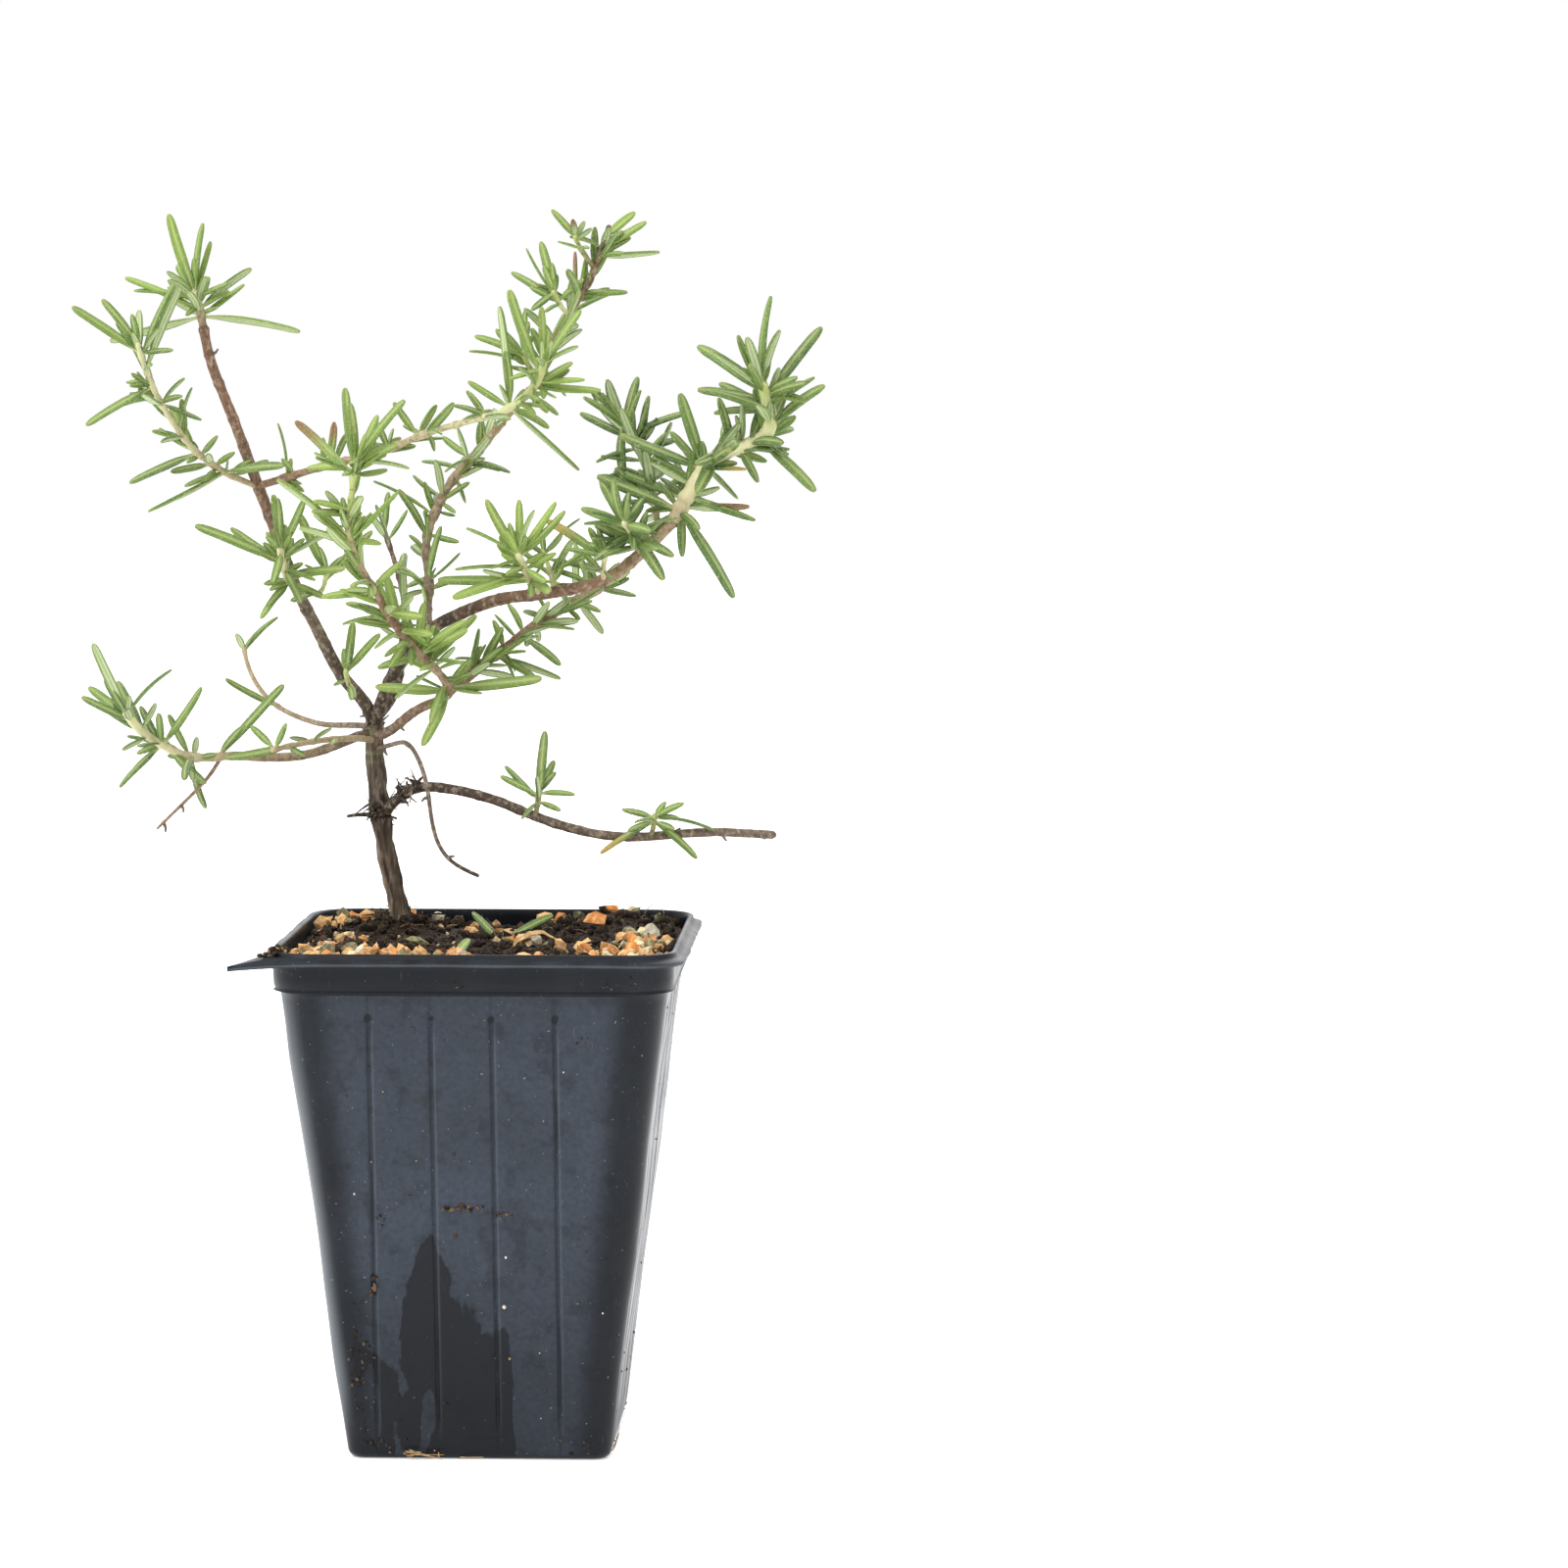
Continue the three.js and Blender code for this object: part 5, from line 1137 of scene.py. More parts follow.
def damp_share(x, height):
    """The dark stain where water ran down the front, its edge scalloped."""
    ragged = 1.6 * noise.noise(Vector((x, height, 0)) * 0.12)
    ragged += 0.9 * noise.noise(Vector((x, height, 4)) * 0.4)
    tall = 48 - 0.75 * abs(x + 9.5) ** 1.7
    low = 31 - 4 * smooth(-6, 8, x) - 40 * smooth(6.5, 9.5, x) - 6 * smooth(-13, -17, x)
    reach = max(tall, low) + ragged * 2
    streaks = noise.noise(Vector((x * 0.28, height * 0.05, 9)))
    patchy = 5 * smooth(0.0, 0.35, streaks) * smooth(30, 12, height) * smooth(-5, -12, x)
    return smooth(5, -5, height - reach) - 0.2 * patchy


def wall_warp(point):
    """How far the thin wall bulges out or in."""
    warp = noise.noise(point * 0.028) * 0.6 + noise.noise(point * 0.09) * 0.16
    return warp * smooth(2, 18, point.z) * (1 - smooth(86, 99, point.z))


POT_STEPS = 62  # rings up the wall
POT_SEED = 5
DUST_GRAINS = 150
CORNER_GRAINS = 70
GRANULE = (22.2, -42.3, 106.4)
# [x, z, width, height, how many, size] of the crusts of dried soil on the front.
CRUSTS = [
    (-2.5, 55.7, 4.6, 0.4, 44, 0.9), (6.4, 54.4, 2.2, 0.9, 14, 0.8), (-2, 104.6, 2.0, 1.0, 10, 0.4),
    (28.5, 104.2, 2.2, 1.2, 12, 0.4), (34, 105, 0.8, 1.4, 7, 0.4), (24, 92, 2.6, 1.2, 12, 0.5),
    (-21.5, 38, 1.2, 2.5, 14, 0.9), (-20, 53, 1.6, 2.5, 12, 0.6), (-25, 20, 2.6, 12, 90, 0.6),
    (-21, 4, 5, 3, 26, 0.7), (20, 4, 6, 2.5, 20, 0.6), (-9, 15, 9, 11, 14, 0.5),
]


def pot_rows():
    """(half width, height, corner) of the pot's rings: its foot, up the outside, down the inside."""
    rows = [(BASE_HALF - 5.0, 0.9, 0.1), (BASE_HALF - 4.0, 0.35, 0.1), (BASE_HALF - 3.2, 0.0, 0.1),
            (BASE_HALF - 1.9, 0.0, 0.1), (BASE_HALF - 0.9, 0.22, 0.11), (BASE_HALF - 0.25, 0.75, 0.12),
            (BASE_HALF + 0.05, 1.5, 0.12)]
    for i in range(1, POT_STEPS + 1):
        height = min(1.5 + (BODY_TOP - 1.7) * i / POT_STEPS, BODY_TOP - 0.2)
        share = height / BODY_TOP
        rows.append((body_half(height), height, CORNER_BASE + (CORNER_TOP - CORNER_BASE) * share))
    rim = [(BODY_TOP_HALF + 0.25, BODY_TOP + 0.05), (BODY_TOP_HALF + 1.4, BODY_TOP + 0.45),
           (COLLAR_HALF - 0.35, COLLAR_LOW - 0.25), (COLLAR_HALF, COLLAR_LOW + 0.25),
           (COLLAR_HALF + 0.1, COLLAR_LOW + 2), (COLLAR_HALF + 0.2, FLANGE_LOW - 1.2),
           (COLLAR_HALF + 0.35, FLANGE_LOW - 0.35), (COLLAR_HALF + 0.9, FLANGE_LOW + 0.1),
           (FLANGE_HALF - 1.0, FLANGE_LOW - 0.05), (FLANGE_HALF - 0.05, FLANGE_LOW - 0.1),
           (FLANGE_HALF, FLANGE_LOW + 0.3), (FLANGE_HALF - 0.15, FLANGE_LOW + 0.62),
           (FLANGE_HALF - 1.1, FLANGE_LOW + 0.95), (FLANGE_HALF - 1.9, FLANGE_LOW + 1.5),
           (COLLAR_HALF + 0.75, POT_HEIGHT - 0.25), (COLLAR_HALF + 0.25, POT_HEIGHT),
           (COLLAR_HALF - 0.2, POT_HEIGHT - 0.12), (COLLAR_HALF - 0.48, POT_HEIGHT - 0.6),
           (COLLAR_HALF - 0.55, POT_HEIGHT - 1.6), (COLLAR_HALF - 0.7, FLANGE_LOW - 1),
           (COLLAR_HALF - WALL, COLLAR_LOW), (BODY_TOP_HALF - WALL, BODY_TOP - 0.8),
           (body_half(50) - WALL, 50)]
    rows += [(half, height, CORNER_TOP) for half, height in rim]
    inner = body_half(2) - WALL
    return rows + [(inner, 2, CORNER_BASE), (inner - 1, 1.8, CORNER_BASE)]


def wear_and_painted_light_at(point, side, place, half, height, flange):
    """(dusty film with painted shade, water stain with painted shade in the dimples, painted highlight and
    pale torn edge) of a point of the pot, each from 0 to 1.
    """
    dust_and_shade, edge = 0.3, 0.0
    if 1 < height < BODY_TOP and half > body_half(height) - 0.3:
        dust_and_shade = 0.62 + 0.38 * smooth(10, 55, height) - 0.12 * smooth(75, 98, height)
        # Painted shade: the dusty film is thinned towards each rounded corner, so the corners come out dark.
        corner_shade = 1.0 if place is None else smooth(0.66, 0.84, abs(place) / half)
        dust_and_shade *= 1 - 0.8 * corner_shade
        # A painted highlight down the outer part of the front left corner.
        if point.y < 0:
            painted_corner_highlight = smooth(0.88, 0.985, -point.x / half)
            edge = 0.55 * painted_corner_highlight * smooth(3, 20, height) * (1 - 0.4 * smooth(70, 98, height))
        dust_and_shade += 0.12 * noise.noise(point * 0.05)
        if place is not None:
            beside = min((place - groove for groove in GROOVE_PLACES), key=abs)
            # A painted highlight on the ridge beside each groove, weaker low down.
            ridge = smooth(0.25, 0.45, beside) * (1 - smooth(0.75, 1.15, beside))
            ridge_highlight_height = 0.35 + 0.65 * smooth(8, 40, height)
            # Painted shade: the dusty film is thinned in each groove.
            dust_and_shade -= 0.25 * smooth(-0.5, -0.2, beside) * (1 - smooth(0.1, 0.3, beside))
            edge += 0.13 * ridge * ridge_highlight_height * smooth(4, 10, height) * (1 - smooth(92, 96, height))
    elif flange:
        dust_and_shade = 0.4 + 0.5 * noise.noise(point * 0.2)
    elif height >= BODY_TOP:
        # Painted shade: the collar and rim get little of the dusty film, so they come out dark.
        dust_and_shade = 0.12 + 0.3 * max(0, noise.noise(point * 0.1))
    damp_and_dimple_shade = 0.0
    if side == 0 and place is not None:
        damp_and_dimple_shade = damp_share(point.x, height)
    # Painted shade in the dimple at the top of each groove, carried with the water stain.
    if place is not None and 90 < height < BODY_TOP:
        pit = min(abs(place - groove) for groove in GROOVE_PLACES)
        away = math.hypot(pit, height - (BODY_TOP - DIMPLE_DROP))
        damp_and_dimple_shade = max(damp_and_dimple_shade, 1 - smooth(0.5, 1.3, away))
    if flange and abs(height - FLANGE_LOW - 0.3) < 0.05:
        edge = 0.3
    return Vector((min(max(dust_and_shade, 0), 1), damp_and_dimple_shade, edge))


def scatter_dirt(skin, draw):
    """Grains of dried soil: a few on every side, the crusts, and some on the torn corner."""
    shades = ("peat", "peat_light", "peat_light", "peat_light", "root", "pale_bit")
    for _ in range(DUST_GRAINS):
        side = draw.choice((0, 0, 0, 1, 2, 3))
        low = draw.random() ** 1.6
        height = 2 + low * (BODY_TOP - 6)
        half = body_half(height)
        place = draw.uniform(-0.85, 0.85) * half
        turn = Matrix.Rotation(side * math.pi / 2, 3, "Z")
        size = draw.uniform(0.12, 0.34) * (1.6 if draw.random() < 0.12 else 1)
        centre = turn @ Vector((place, -half - 0.05, height))
        centre += (turn @ Vector((0, -1, 0))) * wall_warp(centre)
        grain_of_soil = pebble(draw, centre, (size, size * 0.8, size * 1.1), draw.uniform(0, 6), 0.2)
        skin.lump(*grain_of_soil, COLOURS[draw.choice(shades)], 1)
    shades = ("peat", "peat", "peat_light", "crust")
    for x, z, wide, tall, count, coarse in CRUSTS:
        for _ in range(count):
            height = max(1.6, draw.gauss(z, tall * 0.5))
            size = draw.uniform(0.3, 1.0) * coarse
            limit = 0.88 * body_half(height)
            place = min(max(draw.gauss(x, wide * 0.5), -limit), limit)
            front = body_half(height) if height < BODY_TOP else COLLAR_HALF + 0.1
            centre = Vector((place, -front, height))
            centre.y -= wall_warp(centre)
            grain_of_soil = pebble(draw, centre, (size, size * 0.5, size * 0.6), draw.uniform(0, 6), 0.5)
            skin.lump(*grain_of_soil, COLOURS[draw.choice(shades)] * 0.9, 1)
    shades = ("peat", "peat_light", "root")
    for _ in range(CORNER_GRAINS):
        reach = abs(draw.gauss(0, 4.5))
        centre = Vector((-41.5 + draw.gauss(0, 1.2), -40 + reach, 0))
        centre.z = 110.3 - 0.5 * max(0, -centre.x - COLLAR_HALF)
        centre.z += draw.uniform(0, 0.9) * math.exp(-reach / 4)
        size = draw.uniform(0.25, 0.95)
        grain_of_soil = pebble(draw, centre, (size, size * 0.8, size * 0.7), draw.uniform(0, 6), 0.5)
        skin.lump(*grain_of_soil, COLOURS[draw.choice(shades)] * 0.8, 1)


def make_pot():
    """The pot with its grooves, warped wall, torn corner, worn film, dirt and painted light and shade."""
    rings, wear_and_painted_light = [], []
    for half, height, corner in pot_rows():
        ring, row = [], []
        flange = half > COLLAR_HALF + 0.95 and height > FLANGE_LOW - 1
        for point, side, place in square_ring(half, height, corner):
            out = Vector((point.x, point.y, 0)).normalized()
            near_wall = out
            if place is not None:
                near_wall = Matrix.Rotation(side * math.pi / 2, 3, "Z") @ Vector((0, -1, 0))
            if 1.2 < height < BODY_TOP and half > body_half(height) - 0.3:
                point = point - near_wall * groove_depth(height, place) * (1 if side == 0 else 1.5)
                point = point + near_wall * wall_warp(point)
            if flange:
                ragged = noise.noise(point * 0.5) * 0.18 + noise.noise(point * 0.13) * 0.35
                point = point + out * ragged
                point.z += 0.3 * noise.noise(point * 0.06)
                point = tear_tab(point)
            ring.append(point)
            row.append(wear_and_painted_light_at(point, side, place, half, height, flange))
        rings.append(ring)
        wear_and_painted_light.append(row)
    skin = Skin()
    skin.rings(rings, wear_and_painted_light, 0)
    draw = random.Random(POT_SEED)
    scatter_dirt(skin, draw)
    skin.lump(*pebble(draw, Vector(GRANULE), (0.95, 0.7, 0.9), 0.4, 0.12, 2), COLOURS["granule"], 1)
    pot = skin.build("pot_shell", [POT, PEAT])
    cut_holes(pot)
    return hand_over(pot, "pot_plastic", "pot")


HOLE_SIDES = 24


def cut_holes(pot):
    """Four drain holes in the base."""
    skin = Skin()
    for x in (-DRAIN_PLACE, DRAIN_PLACE):
        for y in (-DRAIN_PLACE, DRAIN_PLACE):
            rings = []
            for height in (-4, 4):
                ring = []
                for k in range(HOLE_SIDES):
                    angle = math.tau * k / HOLE_SIDES
                    out = Vector((math.cos(angle), math.sin(angle), 0)) * DRAIN_RADIUS
                    ring.append(Vector((x, y, height)) + out)
                rings.append(ring)
            skin.rings(rings, [[Vector((0.3, 0, 0))] * HOLE_SIDES] * 2, 0)
    cutter = skin.build("drain_cutter", [POT])
    cut = pot.modifiers.new("holes", "BOOLEAN")
    cut.object = cutter
    cut.operation = "DIFFERENCE"
    cut.solver = "EXACT"
    apply_modifiers(pot)
    bpy.data.objects.remove(cutter)


def apply_modifiers(piece):
    """Makes the cut shape the piece's own mesh."""
    graph = bpy.context.evaluated_depsgraph_get()
    mesh = bpy.data.meshes.new_from_object(piece.evaluated_get(graph))
    piece.modifiers.clear()
    piece.data = mesh


# ---------------------------------------------------------------- soil and loose bits

BALLS = {}


def ball(detail):
    """Points and faces of a unit ball of triangles."""
    if detail not in BALLS:
        work = bmesh.new()
        bmesh.ops.create_icosphere(work, subdivisions=detail, radius=1)
        work.verts.ensure_lookup_table()
        faces = [tuple(v.index for v in f.verts) for f in work.faces]
        BALLS[detail] = ([v.co.copy() for v in work.verts], faces)
        work.free()
    return BALLS[detail]


def pebble(draw, centre, sizes, turn, rough, detail=1):
    """An uneven lump: its points and faces."""
    points, faces = ball(detail)
    axis = any_way(draw) + Vector((0, 0, 0.01))
    spin = Matrix.Rotation(turn, 3, axis.normalized())
    offset = any_way(draw, (0, 0, 0), (50, 50, 50))
    made = []
    for p in points:
        uneven = rough * 1.6 * noise.noise(p * 1.3 + offset) + rough * 0.6 * noise.noise(p * 3.1 + offset)
        q = p * (1 + uneven)
        made.append(centre + spin @ Vector([q[k] * sizes[k] for k in range(3)]))
    return made, faces


# [x, y, radius, rise] of the heaps: all but the rise in shares of the chips' span, as in the CAD model.
HEAPS = [
    (-0.62, 0.62, 0.5, 3.4), (0.66, 0.66, 0.46, 4.4), (-0.74, -0.6, 0.34, 1.6), (0.5, -0.66, 0.4, 1.4),
    (-0.56, 0.48, 0.25, 1.2),
]
TRUNK_HEAP = (1.2, 6)  # rise and reach of the soil round the trunk
SOIL_STEPS = 64
SOIL_SEED = 21
CRUMBS = 1500
SHRED_COUNT = 170
SMALL_GRIT = 720
GRIT_CLUMPS = 46
# The small chips' colours, in the shares in which they lie there.
GRIT_MIX = ("chip", "chip", "chip", "chip", "chip", "chip_orange", "chip_orange", "chip_light",
            "chip_light", "chip_dark", "chip_dark", "grey_bit", "grey_bit", "grey_bit", "pale_bit")


def soil_height(x, y):
    """Height of the soil's surface: heaps, lumps and a rise at the trunk."""
    height = SOIL_TOP - 0.3 + 0.5 * smooth(-0.6, -0.95, y / SOIL_HALF)
    for hx, hy, radius, rise in HEAPS:
        gap = math.hypot(x - hx * CHIP_SPAN, y - hy * CHIP_SPAN) / (radius * CHIP_SPAN)
        height += rise * (1 - smooth(0, 1, gap))
    spot = Vector((x, y, 3.0))
    for size, rate in ((0.9, 0.09), (0.55, 0.28), (0.3, 0.8)):
        height += size * noise.noise(spot * rate)
    rise, reach = TRUNK_HEAP
    trunk_gap = math.hypot(x - TRUNK_FOOT_PLACE[0], y - TRUNK_FOOT_PLACE[1])
    return height + rise * math.exp(-(trunk_gap / reach) ** 2)


def make_soil():
    """The root ball with its lumpy surface, the crumbs and shreds on it, and the small chips."""
    skin = Skin()
    rings, rows = [], []
    low_rows = [(body_half(2) - WALL - 0.6, 2.0, CORNER_BASE), (body_half(50) - WALL - 0.4, 50, 0.18),
                (BODY_TOP_HALF - WALL - 0.4, 100.5, CORNER_TOP), (SOIL_HALF - 0.3, 103.0, CORNER_TOP)]
    for half, height, corner in low_rows:
        ring = [point for point, _, _ in square_ring(half, height, corner)]
        rings.append(ring)
        rows.append([COLOURS["peat"]] * len(ring))
    for i in range(SOIL_STEPS):
        share = 1 - (i / SOIL_STEPS) * 0.985
        ring, row = [], []
        for point, _, _ in square_ring(SOIL_HALF * share, 0, CORNER_TOP):
            height = soil_height(point.x, point.y)
            ring.append(Vector((point.x, point.y, height)))
            tone = 0.5 + 0.9 * noise.noise(Vector((point.x, point.y, 9)) * 0.35)
            row.append(COLOURS["peat"].lerp(COLOURS["peat_light"], min(max(tone - 0.3, 0), 0.7)))
        rings.append(ring)
        rows.append(row)
    skin.rings(rings, rows, 0)
    draw = random.Random(SOIL_SEED)
    scatter_crumbs(skin, draw)
    scatter_shreds(skin, draw)
    soil = skin.build("soil_and_crumbs", [PEAT, GRIT])
    hand_over(soil, "potting_soil", "root_ball")
    small = Skin()
    scatter_grit(small, draw)
    hand_over(small.build("small_grit", [GRIT], flat_slots=(0,)), "grit")


def on_soil(draw, margin=0.97):
    """A place drawn on the soil, inside its rounded corners."""
    x = draw.uniform(-1, 1) * SOIL_HALF * margin
    y = draw.uniform(-1, 1) * SOIL_HALF * margin
    corner = SOIL_HALF * (1 - CORNER_TOP)
    over = math.hypot(max(abs(x) - corner, 0), max(abs(y) - corner, 0))
    return (x, y) if over < SOIL_HALF * CORNER_TOP * 0.94 else on_soil(draw, margin)


def scatter_crumbs(skin, draw):
    """Crumbs of peat, most of them small."""
    for _ in range(CRUMBS):
        x, y = on_soil(draw)
        size = 0.35 + 1.5 * draw.random() ** 2.6
        centre = Vector((x, y, soil_height(x, y) + size * draw.uniform(-0.1, 0.6)))
        sizes = (size, size * draw.uniform(0.6, 1), size * draw.uniform(0.5, 0.9))
        points, faces = pebble(draw, centre, sizes, draw.uniform(0, 6), 0.5)
        shade = COLOURS["peat"].lerp(COLOURS["peat_light"], draw.random() ** 2) * draw.uniform(0.45, 1.1)
        skin.lump(points, faces, shade, 0)


def scatter_shreds(skin, draw):
    """Fibres and strips of dark bark, every third of them near the trunk."""
    for i in range(SHRED_COUNT):
        if i % 3:
            x, y = on_soil(draw)
        else:
            x, y = (middle + draw.gauss(0, 5) for middle in TRUNK_FOOT_PLACE)
        start = Vector((x, y, soil_height(x, y) + draw.uniform(0, 0.8)))
        angle = draw.uniform(0, math.tau)
        length = draw.uniform(1.5, 6.5)
        way = Vector((math.cos(angle), math.sin(angle), draw.uniform(-0.05, 0.3)))
        bow = Vector((draw.uniform(-1, 1), draw.uniform(-1, 1), draw.uniform(0.1, 1))) * length * 0.16
        points = [start, start + way * length * 0.5 + bow, start + way * length]
        points[2].z = max(points[2].z, soil_height(points[2].x, points[2].y))
        limit = SOIL_HALF - 0.6
        if max(abs(points[2].x), abs(points[2].y)) > limit:
            continue
        thick = draw.uniform(0.1, 0.38)
        pale = draw.random() < 0.22
        shade = (COLOURS["root"] if pale else COLOURS["peat_light"]) * draw.uniform(0.25, 0.8)
        grow_tube(skin, Path(points, 0.7), lambda s: thick * (1 - 0.5 * s), 5, 0, lambda s, a, p: shade)


def grit_density(x, y):
    """Where the tan chips lie thickest: along the front, at the left and at the right."""
    u, v = x / SOIL_HALF, y / SOIL_HALF
    front = smooth(-0.3, -0.85, v) * (1 - 0.75 * smooth(-0.05, 0.08, u) * (1 - smooth(0.3, 0.45, u)))
    right = smooth(0.4, 0.85, u)
    left = smooth(-0.55, -0.9, u)
    back = 0.5 * smooth(0.6, 0.9, v) * (1 if u > 0 else 0.2)
    return min(1, 0.07 + 0.95 * front + 0.7 * right + 0.4 * left + back)


def scatter_grit(skin, draw):
    """Chips in clumps, with bare soil between the clumps."""
    clumps = []
    while len(clumps) < GRIT_CLUMPS:
        x, y = on_soil(draw, 0.95)
        if draw.random() < grit_density(x, y) ** 1.3:
            clumps.append((x, y, draw.uniform(1.2, 3.4)))
    limit = SOIL_HALF * 0.955
    for i in range(SMALL_GRIT):
        x, y, spread = clumps[draw.randrange(len(clumps))]
        x, y = draw.gauss(x, spread), draw.gauss(y, spread)
        if i % 9 == 0:
            x, y = on_soil(draw, 0.95)
        if max(abs(x), abs(y)) > limit or abs(x) + abs(y) > limit * 1.78:
            continue
        size = 0.5 + 1.7 * draw.random() ** 2.6
        centre = Vector((x, y, soil_height(x, y) + size * draw.uniform(0.1, 1.1)))
        sizes = (size, size * draw.uniform(0.6, 1), size * draw.uniform(0.45, 0.85))
        points, faces = pebble(draw, centre, sizes, draw.uniform(0, 6), 0.46)
        shade = COLOURS[draw.choice(GRIT_MIX)]
        skin.lump(points, faces, shade * draw.uniform(0.7, 1.12), 0)


# [x, y, size, turn] of the larger chips, as in the CAD model.
CHIPS = [
    (-0.86, -0.82, 5, 10), (-0.66, -0.79, 4, 60), (-0.37, -0.84, 5, 30), (-0.1, -0.86, 4, 80),
    (0.26, -0.82, 4, 20), (0.62, -0.84, 5, 50), (0.86, -0.7, 4, 70), (-0.86, -0.36, 5, 15),
    (-0.8, 0.12, 4, 40), (-0.84, 0.8, 5, 65), (0.2, 0.06, 4, 25), (0.52, -0.1, 5, 55),
    (0.84, 0.06, 4, 35), (0.86, 0.4, 5, 75),
]
CHIP_SEED = 33


def make_chips():
    """The larger chips, each a piece of its own."""
    draw = random.Random(CHIP_SEED)
    shades = ["chip", "chip_light", "chip_orange", "chip_dark", "chip", "chip_orange", "pale_bit"]
    for i, (x, y, size, turn) in enumerate(CHIPS):
        spot = Vector((x * CHIP_SPAN, y * CHIP_SPAN, 0))
        spot.z = soil_height(spot.x, spot.y) + size * 0.12
        half = size * 0.5
        points, faces = pebble(draw, spot, (half, half * 0.78, half * 0.66), math.radians(turn), 0.34, 2)
        skin = Skin()
        skin.lump(points, faces, COLOURS[shades[i % len(shades)]], 0)
        name = f"grit_{i + 1:02d}"
        hand_over(skin.build(name + "_stone", [GRIT], flat_slots=(0,)), "grit", name)


# [name, x, y, height above the soil, clock angle seen from above, tilt up, length, brightness] of the
# fallen leaves.
FALLEN = [
    ("fallen_leaf_1", -0.05, 0.36, 2.6, -60, 36, 9.5, 0.1),
    ("fallen_leaf_2", 0.19, 0.36, 2.8, 74, 32, 12, 0.2),
    ("fallen_leaf_3", -0.1, -0.5, 1.6, 10, 24, 9, 0.6),
]
FALLEN_WIDTH = 2.2
FALLEN_SEED = 900


def make_fallen_leaves():
    """Three leaves that lean on the soil."""
    for i, (name, x, y, rise, clock, tilt, length, bright) in enumerate(FALLEN):
        centre = Vector((x * CHIP_SPAN, y * CHIP_SPAN, 0))
        centre.z = soil_height(centre.x, centre.y) + rise
        angle, lean = math.radians(clock), math.radians(tilt)
        heading = Vector((math.sin(angle), math.cos(angle), 0)) * math.cos(lean)
        heading.z = math.sin(lean)
        towards = Vector((0, -0.6, 1))
        face = (towards - heading * towards.dot(heading)).normalized()
        foot = centre - heading * length / 2
        skin = Skin()
        colours = leaf_colours(bright, FALLEN_SEED + i, None)
        grow_leaf(skin, 0, foot, heading, face, length, FALLEN_WIDTH, 0.06, 0.08, 0.3, colours)
        hand_over(skin.build(name + "_blade", [LEAF]), "leaf", name)


CURL_PLACE = (0.3, -0.5)
CURL_RISE = 1.9
CURL_REACH = 5.6  # radius of the arch
CURL_ENDS = 0.45  # radians that the arch lacks at either end
CURL_HALF = 1.6  # half of its greatest width
CURL_STEPS = (30, 12)  # along the leaf and round it


def make_curled_leaf():
    """A dry leaf curled into an arch that stands on its two ends."""
    place = Vector((*CURL_PLACE, 0)) * CHIP_SPAN
    place.z = soil_height(place.x, place.y) + CURL_RISE
    turn = Matrix.Rotation(0.3, 3, "Z")
    rings, rows = [], []
    stations, count = CURL_STEPS
    for i in range(stations + 1):
        share = i / stations
        angle = math.pi - CURL_ENDS - (math.pi - 2 * CURL_ENDS) * share
        out = Vector((math.cos(angle), 0, math.sin(angle)))
        half = CURL_HALF * (0.25 + 0.75 * math.sin(math.pi * min(share * 1.15, 1)) ** 0.6)
        reach = CURL_REACH + 0.35 * noise.noise(Vector((share * 6, 0, 0)))
        ring, row = [], []
        for k in range(count):
            around = math.tau * k / count
            across = math.cos(around) * half
            thick = math.sin(around) * 0.22
            fold = -0.55 * (across / CURL_HALF) ** 2 + 0.2 * noise.noise(Vector((share * 9, across, 2)))
            local = out * (reach + thick + fold)
            local += Vector((0, -1.5 + across + 0.3 * math.sin(share * 5), -6 * math.sin(CURL_ENDS)))
            ring.append(place + turn @ local)
            vein = 1 - 0.35 * math.exp(-(across / 0.25) ** 2)
            mottle = 0.9 + 0.3 * noise.noise(Vector((share * 8, across * 2, 0)))
            row.append(COLOURS["dry_leaf"] * vein * mottle)
        rings.append(ring)
        rows.append(row)
    skin = Skin()
    skin.rings(rings, rows, 0)
    hand_over(skin.build("curled_dry_leaf_blade", [DRY_LEAF]), "dry_leaf", "curled_dry_leaf")


ROOT_SEED = 8
FRONT_ROOTS = 7
SIDE_ROOTS = 3
ROOT_START = 24.5  # how far from the middle the roots come out under the pot
WIRY_LOOP = [(31, 33, 109), (34, 31, 113), (36.6, 30, 111.5), (35, 32, 108.4)]


def make_roots():
    """Fine roots that have come out at the pot's foot, and one wiry loop on the soil."""
    draw = random.Random(ROOT_SEED)
    skin = Skin()
    shade = COLOURS["root"]
    paths = []
    for _ in range(FRONT_ROOTS):
        start = Vector((draw.uniform(-14, -1), -ROOT_START, 0.45))
        paths.append([start, start + Vector((draw.uniform(-3, 3), -3.4, draw.uniform(0.0, 0.3))),
                      start + Vector((draw.uniform(-4, 4), -4.8, draw.uniform(0.2, 1.6))),
                      start + Vector((draw.uniform(-7, 7), -5.2, draw.uniform(0.3, 2.0)))])
    for _ in range(SIDE_ROOTS):
        start = Vector((ROOT_START, draw.uniform(-22, -16), 0.45))
        paths.append([start, start + Vector((3.6, draw.uniform(-2, 2), 0.2)),
                      start + Vector((4.9, draw.uniform(-3, 3), draw.uniform(1, 5)))])
    paths.append([Vector(point) for point in WIRY_LOOP])
    for points in paths:
        thick = draw.uniform(0.1, 0.2)
        grow_tube(skin, Path(points, 0.5), lambda s: thick * (1 - 0.5 * s), 6, 0, lambda s, a, p: shade)
    hand_over(skin.build("fine_roots", [DRY_LEAF]), "dry_twig")


# ---------------------------------------------------------------- the studio


FLOOR_HALF = 6.0
WHITE = (1, 1, 1)
AIM = (0, 0, 0.13)
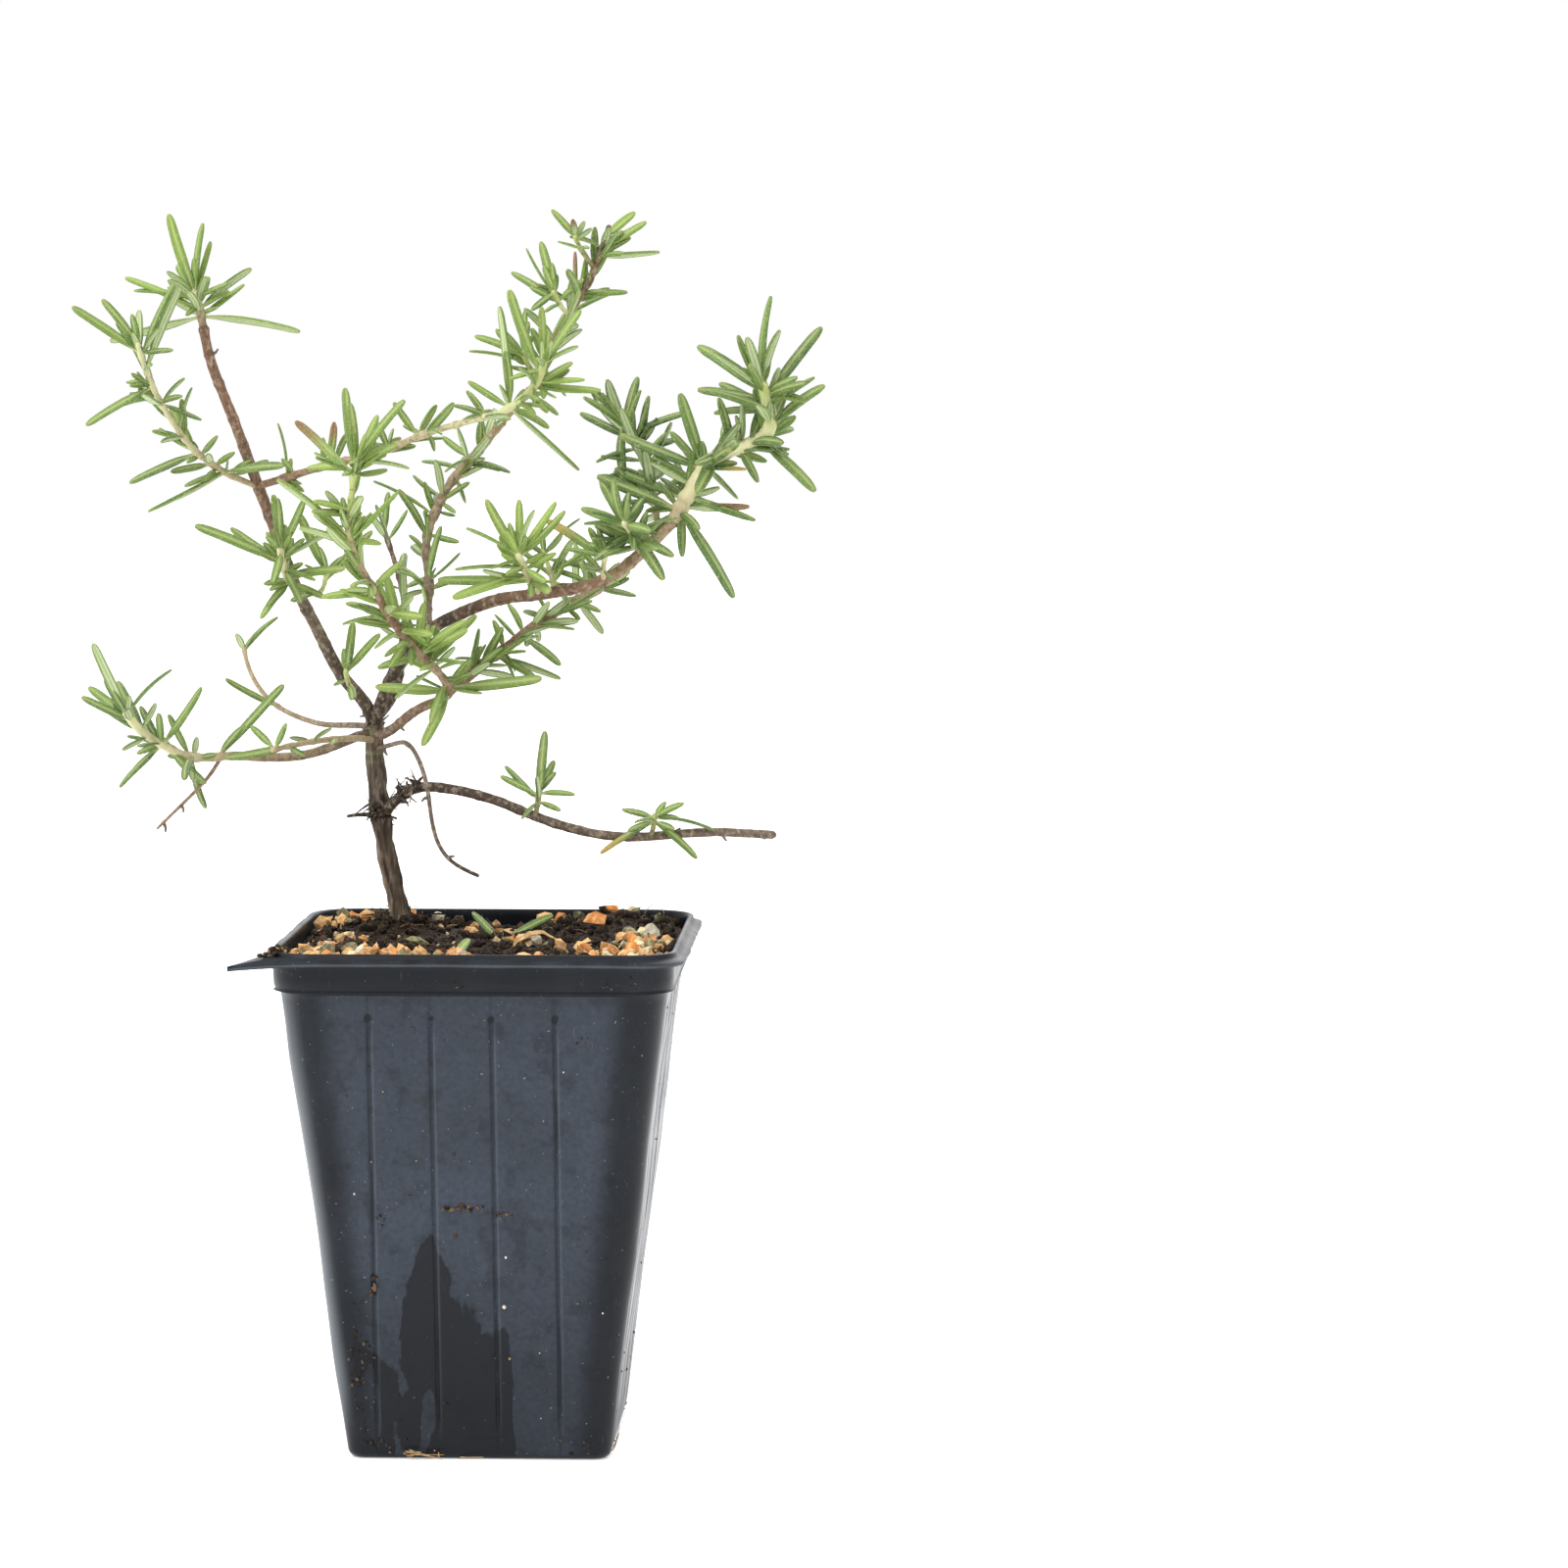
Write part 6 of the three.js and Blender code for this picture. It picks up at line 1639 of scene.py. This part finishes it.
# [name, place, size in metres, power in watts]
LAMPS = [
    ("key", (-0.75, -0.8, 1.3), 0.8, 15), ("fill", (1.1, -0.6, 0.8), 0.9, 2),
    ("rim", (0.3, 1.1, 0.9), 1.0, 7),
]
LENS = 117.8  # for a 36 mm sensor
CAMERA_PLACE = (0.1023, -1.1057, 0.2416)
CAMERA_DOWN = 5.10  # degrees
CAMERA_LEFT = 1.96


def make_floor():
    """The white ground, which also shines a little so that it stays white."""
    mesh = bpy.data.meshes.new("studio_floor")
    corners = [(-1, -1), (1, -1), (1, 1), (-1, 1)]
    mesh.from_pydata([(x * FLOOR_HALF, y * FLOOR_HALF, 0) for x, y in corners], [], [(0, 1, 2, 3)])
    floor = bpy.data.objects.new("studio_floor", mesh)
    bpy.context.scene.collection.objects.link(floor)
    look = bpy.data.materials.new("studio_white")
    look.use_nodes = True
    shader = look.node_tree.nodes["Principled BSDF"]
    shader.inputs["Base Color"].default_value = (0.93, 0.93, 0.93, 1)
    shader.inputs["Roughness"].default_value = 0.9
    shader.inputs["Specular IOR Level"].default_value = 0.1
    shader.inputs["Emission Color"].default_value = (*WHITE, 1)
    shader.inputs["Emission Strength"].default_value = 0.35
    mesh.materials.append(look)


def make_lights():
    """A sky that is bright above, behind and at the left, and the three lamps."""
    world = bpy.data.worlds.new("studio")
    world.use_nodes = True
    tree = world.node_tree
    background = tree.nodes["Background"]
    direction = tree.nodes.new("ShaderNodeSeparateXYZ")
    tree.links.new(tree.nodes.new("ShaderNodeTexCoord").outputs["Generated"], direction.inputs["Vector"])
    above = ramp(tree, direction.outputs["Z"], 0.0, 0.85, 0.02, 1.5)
    behind = ramp(tree, direction.outputs["Y"], 0.05, 0.95, 0.02, 1.3)
    left = ramp(tree, direction.outputs["X"], -0.25, -0.95, 0.02, 1.3)
    brightest = combine(tree, "MAXIMUM", combine(tree, "MAXIMUM", above, behind), left)
    seen = tree.nodes.new("ShaderNodeLightPath")
    shown = mix(tree, seen.outputs["Is Camera Ray"], brightest, WHITE)
    tree.links.new(shown, background.inputs["Color"])
    bpy.context.scene.world = world
    for name, place, size, power in LAMPS:
        data = bpy.data.lights.new(name, "AREA")
        data.size = size
        data.energy = power
        lamp = bpy.data.objects.new(name, data)
        lamp.location = place
        lamp.rotation_euler = (Vector(AIM) - Vector(place)).to_track_quat("-Z", "Y").to_euler()
        bpy.context.scene.collection.objects.link(lamp)


def make_camera():
    """The photo's view."""
    data = bpy.data.cameras.new("camera")
    data.sensor_width = 36
    data.lens = LENS
    data.clip_start = 0.05
    data.clip_end = 50
    camera = bpy.data.objects.new("camera", data)
    camera.location = CAMERA_PLACE
    camera.rotation_euler = (math.radians(90 - CAMERA_DOWN), 0, math.radians(CAMERA_LEFT))
    bpy.context.scene.collection.objects.link(camera)
    bpy.context.scene.camera = camera


make_camera()
make_lights()
make_floor()
bpy.context.scene.view_settings.view_transform = "Standard"

make_pot()
make_soil()
make_chips()
make_fallen_leaves()
make_curled_leaf()
make_roots()
grow_trunk()
for number, stem in enumerate(BARE_STEMS):
    dry = stem["name"].startswith("dry")
    grow_bare_stem(stem, FIRST_STEM_SEED + STEM_SEED_STEP * number, "dry_twig" if dry else "bark")
for number, shoot in enumerate(SHOOTS):
    grow_shoot(shoot, (number + 1) * SHOOT_SEED_STEP)
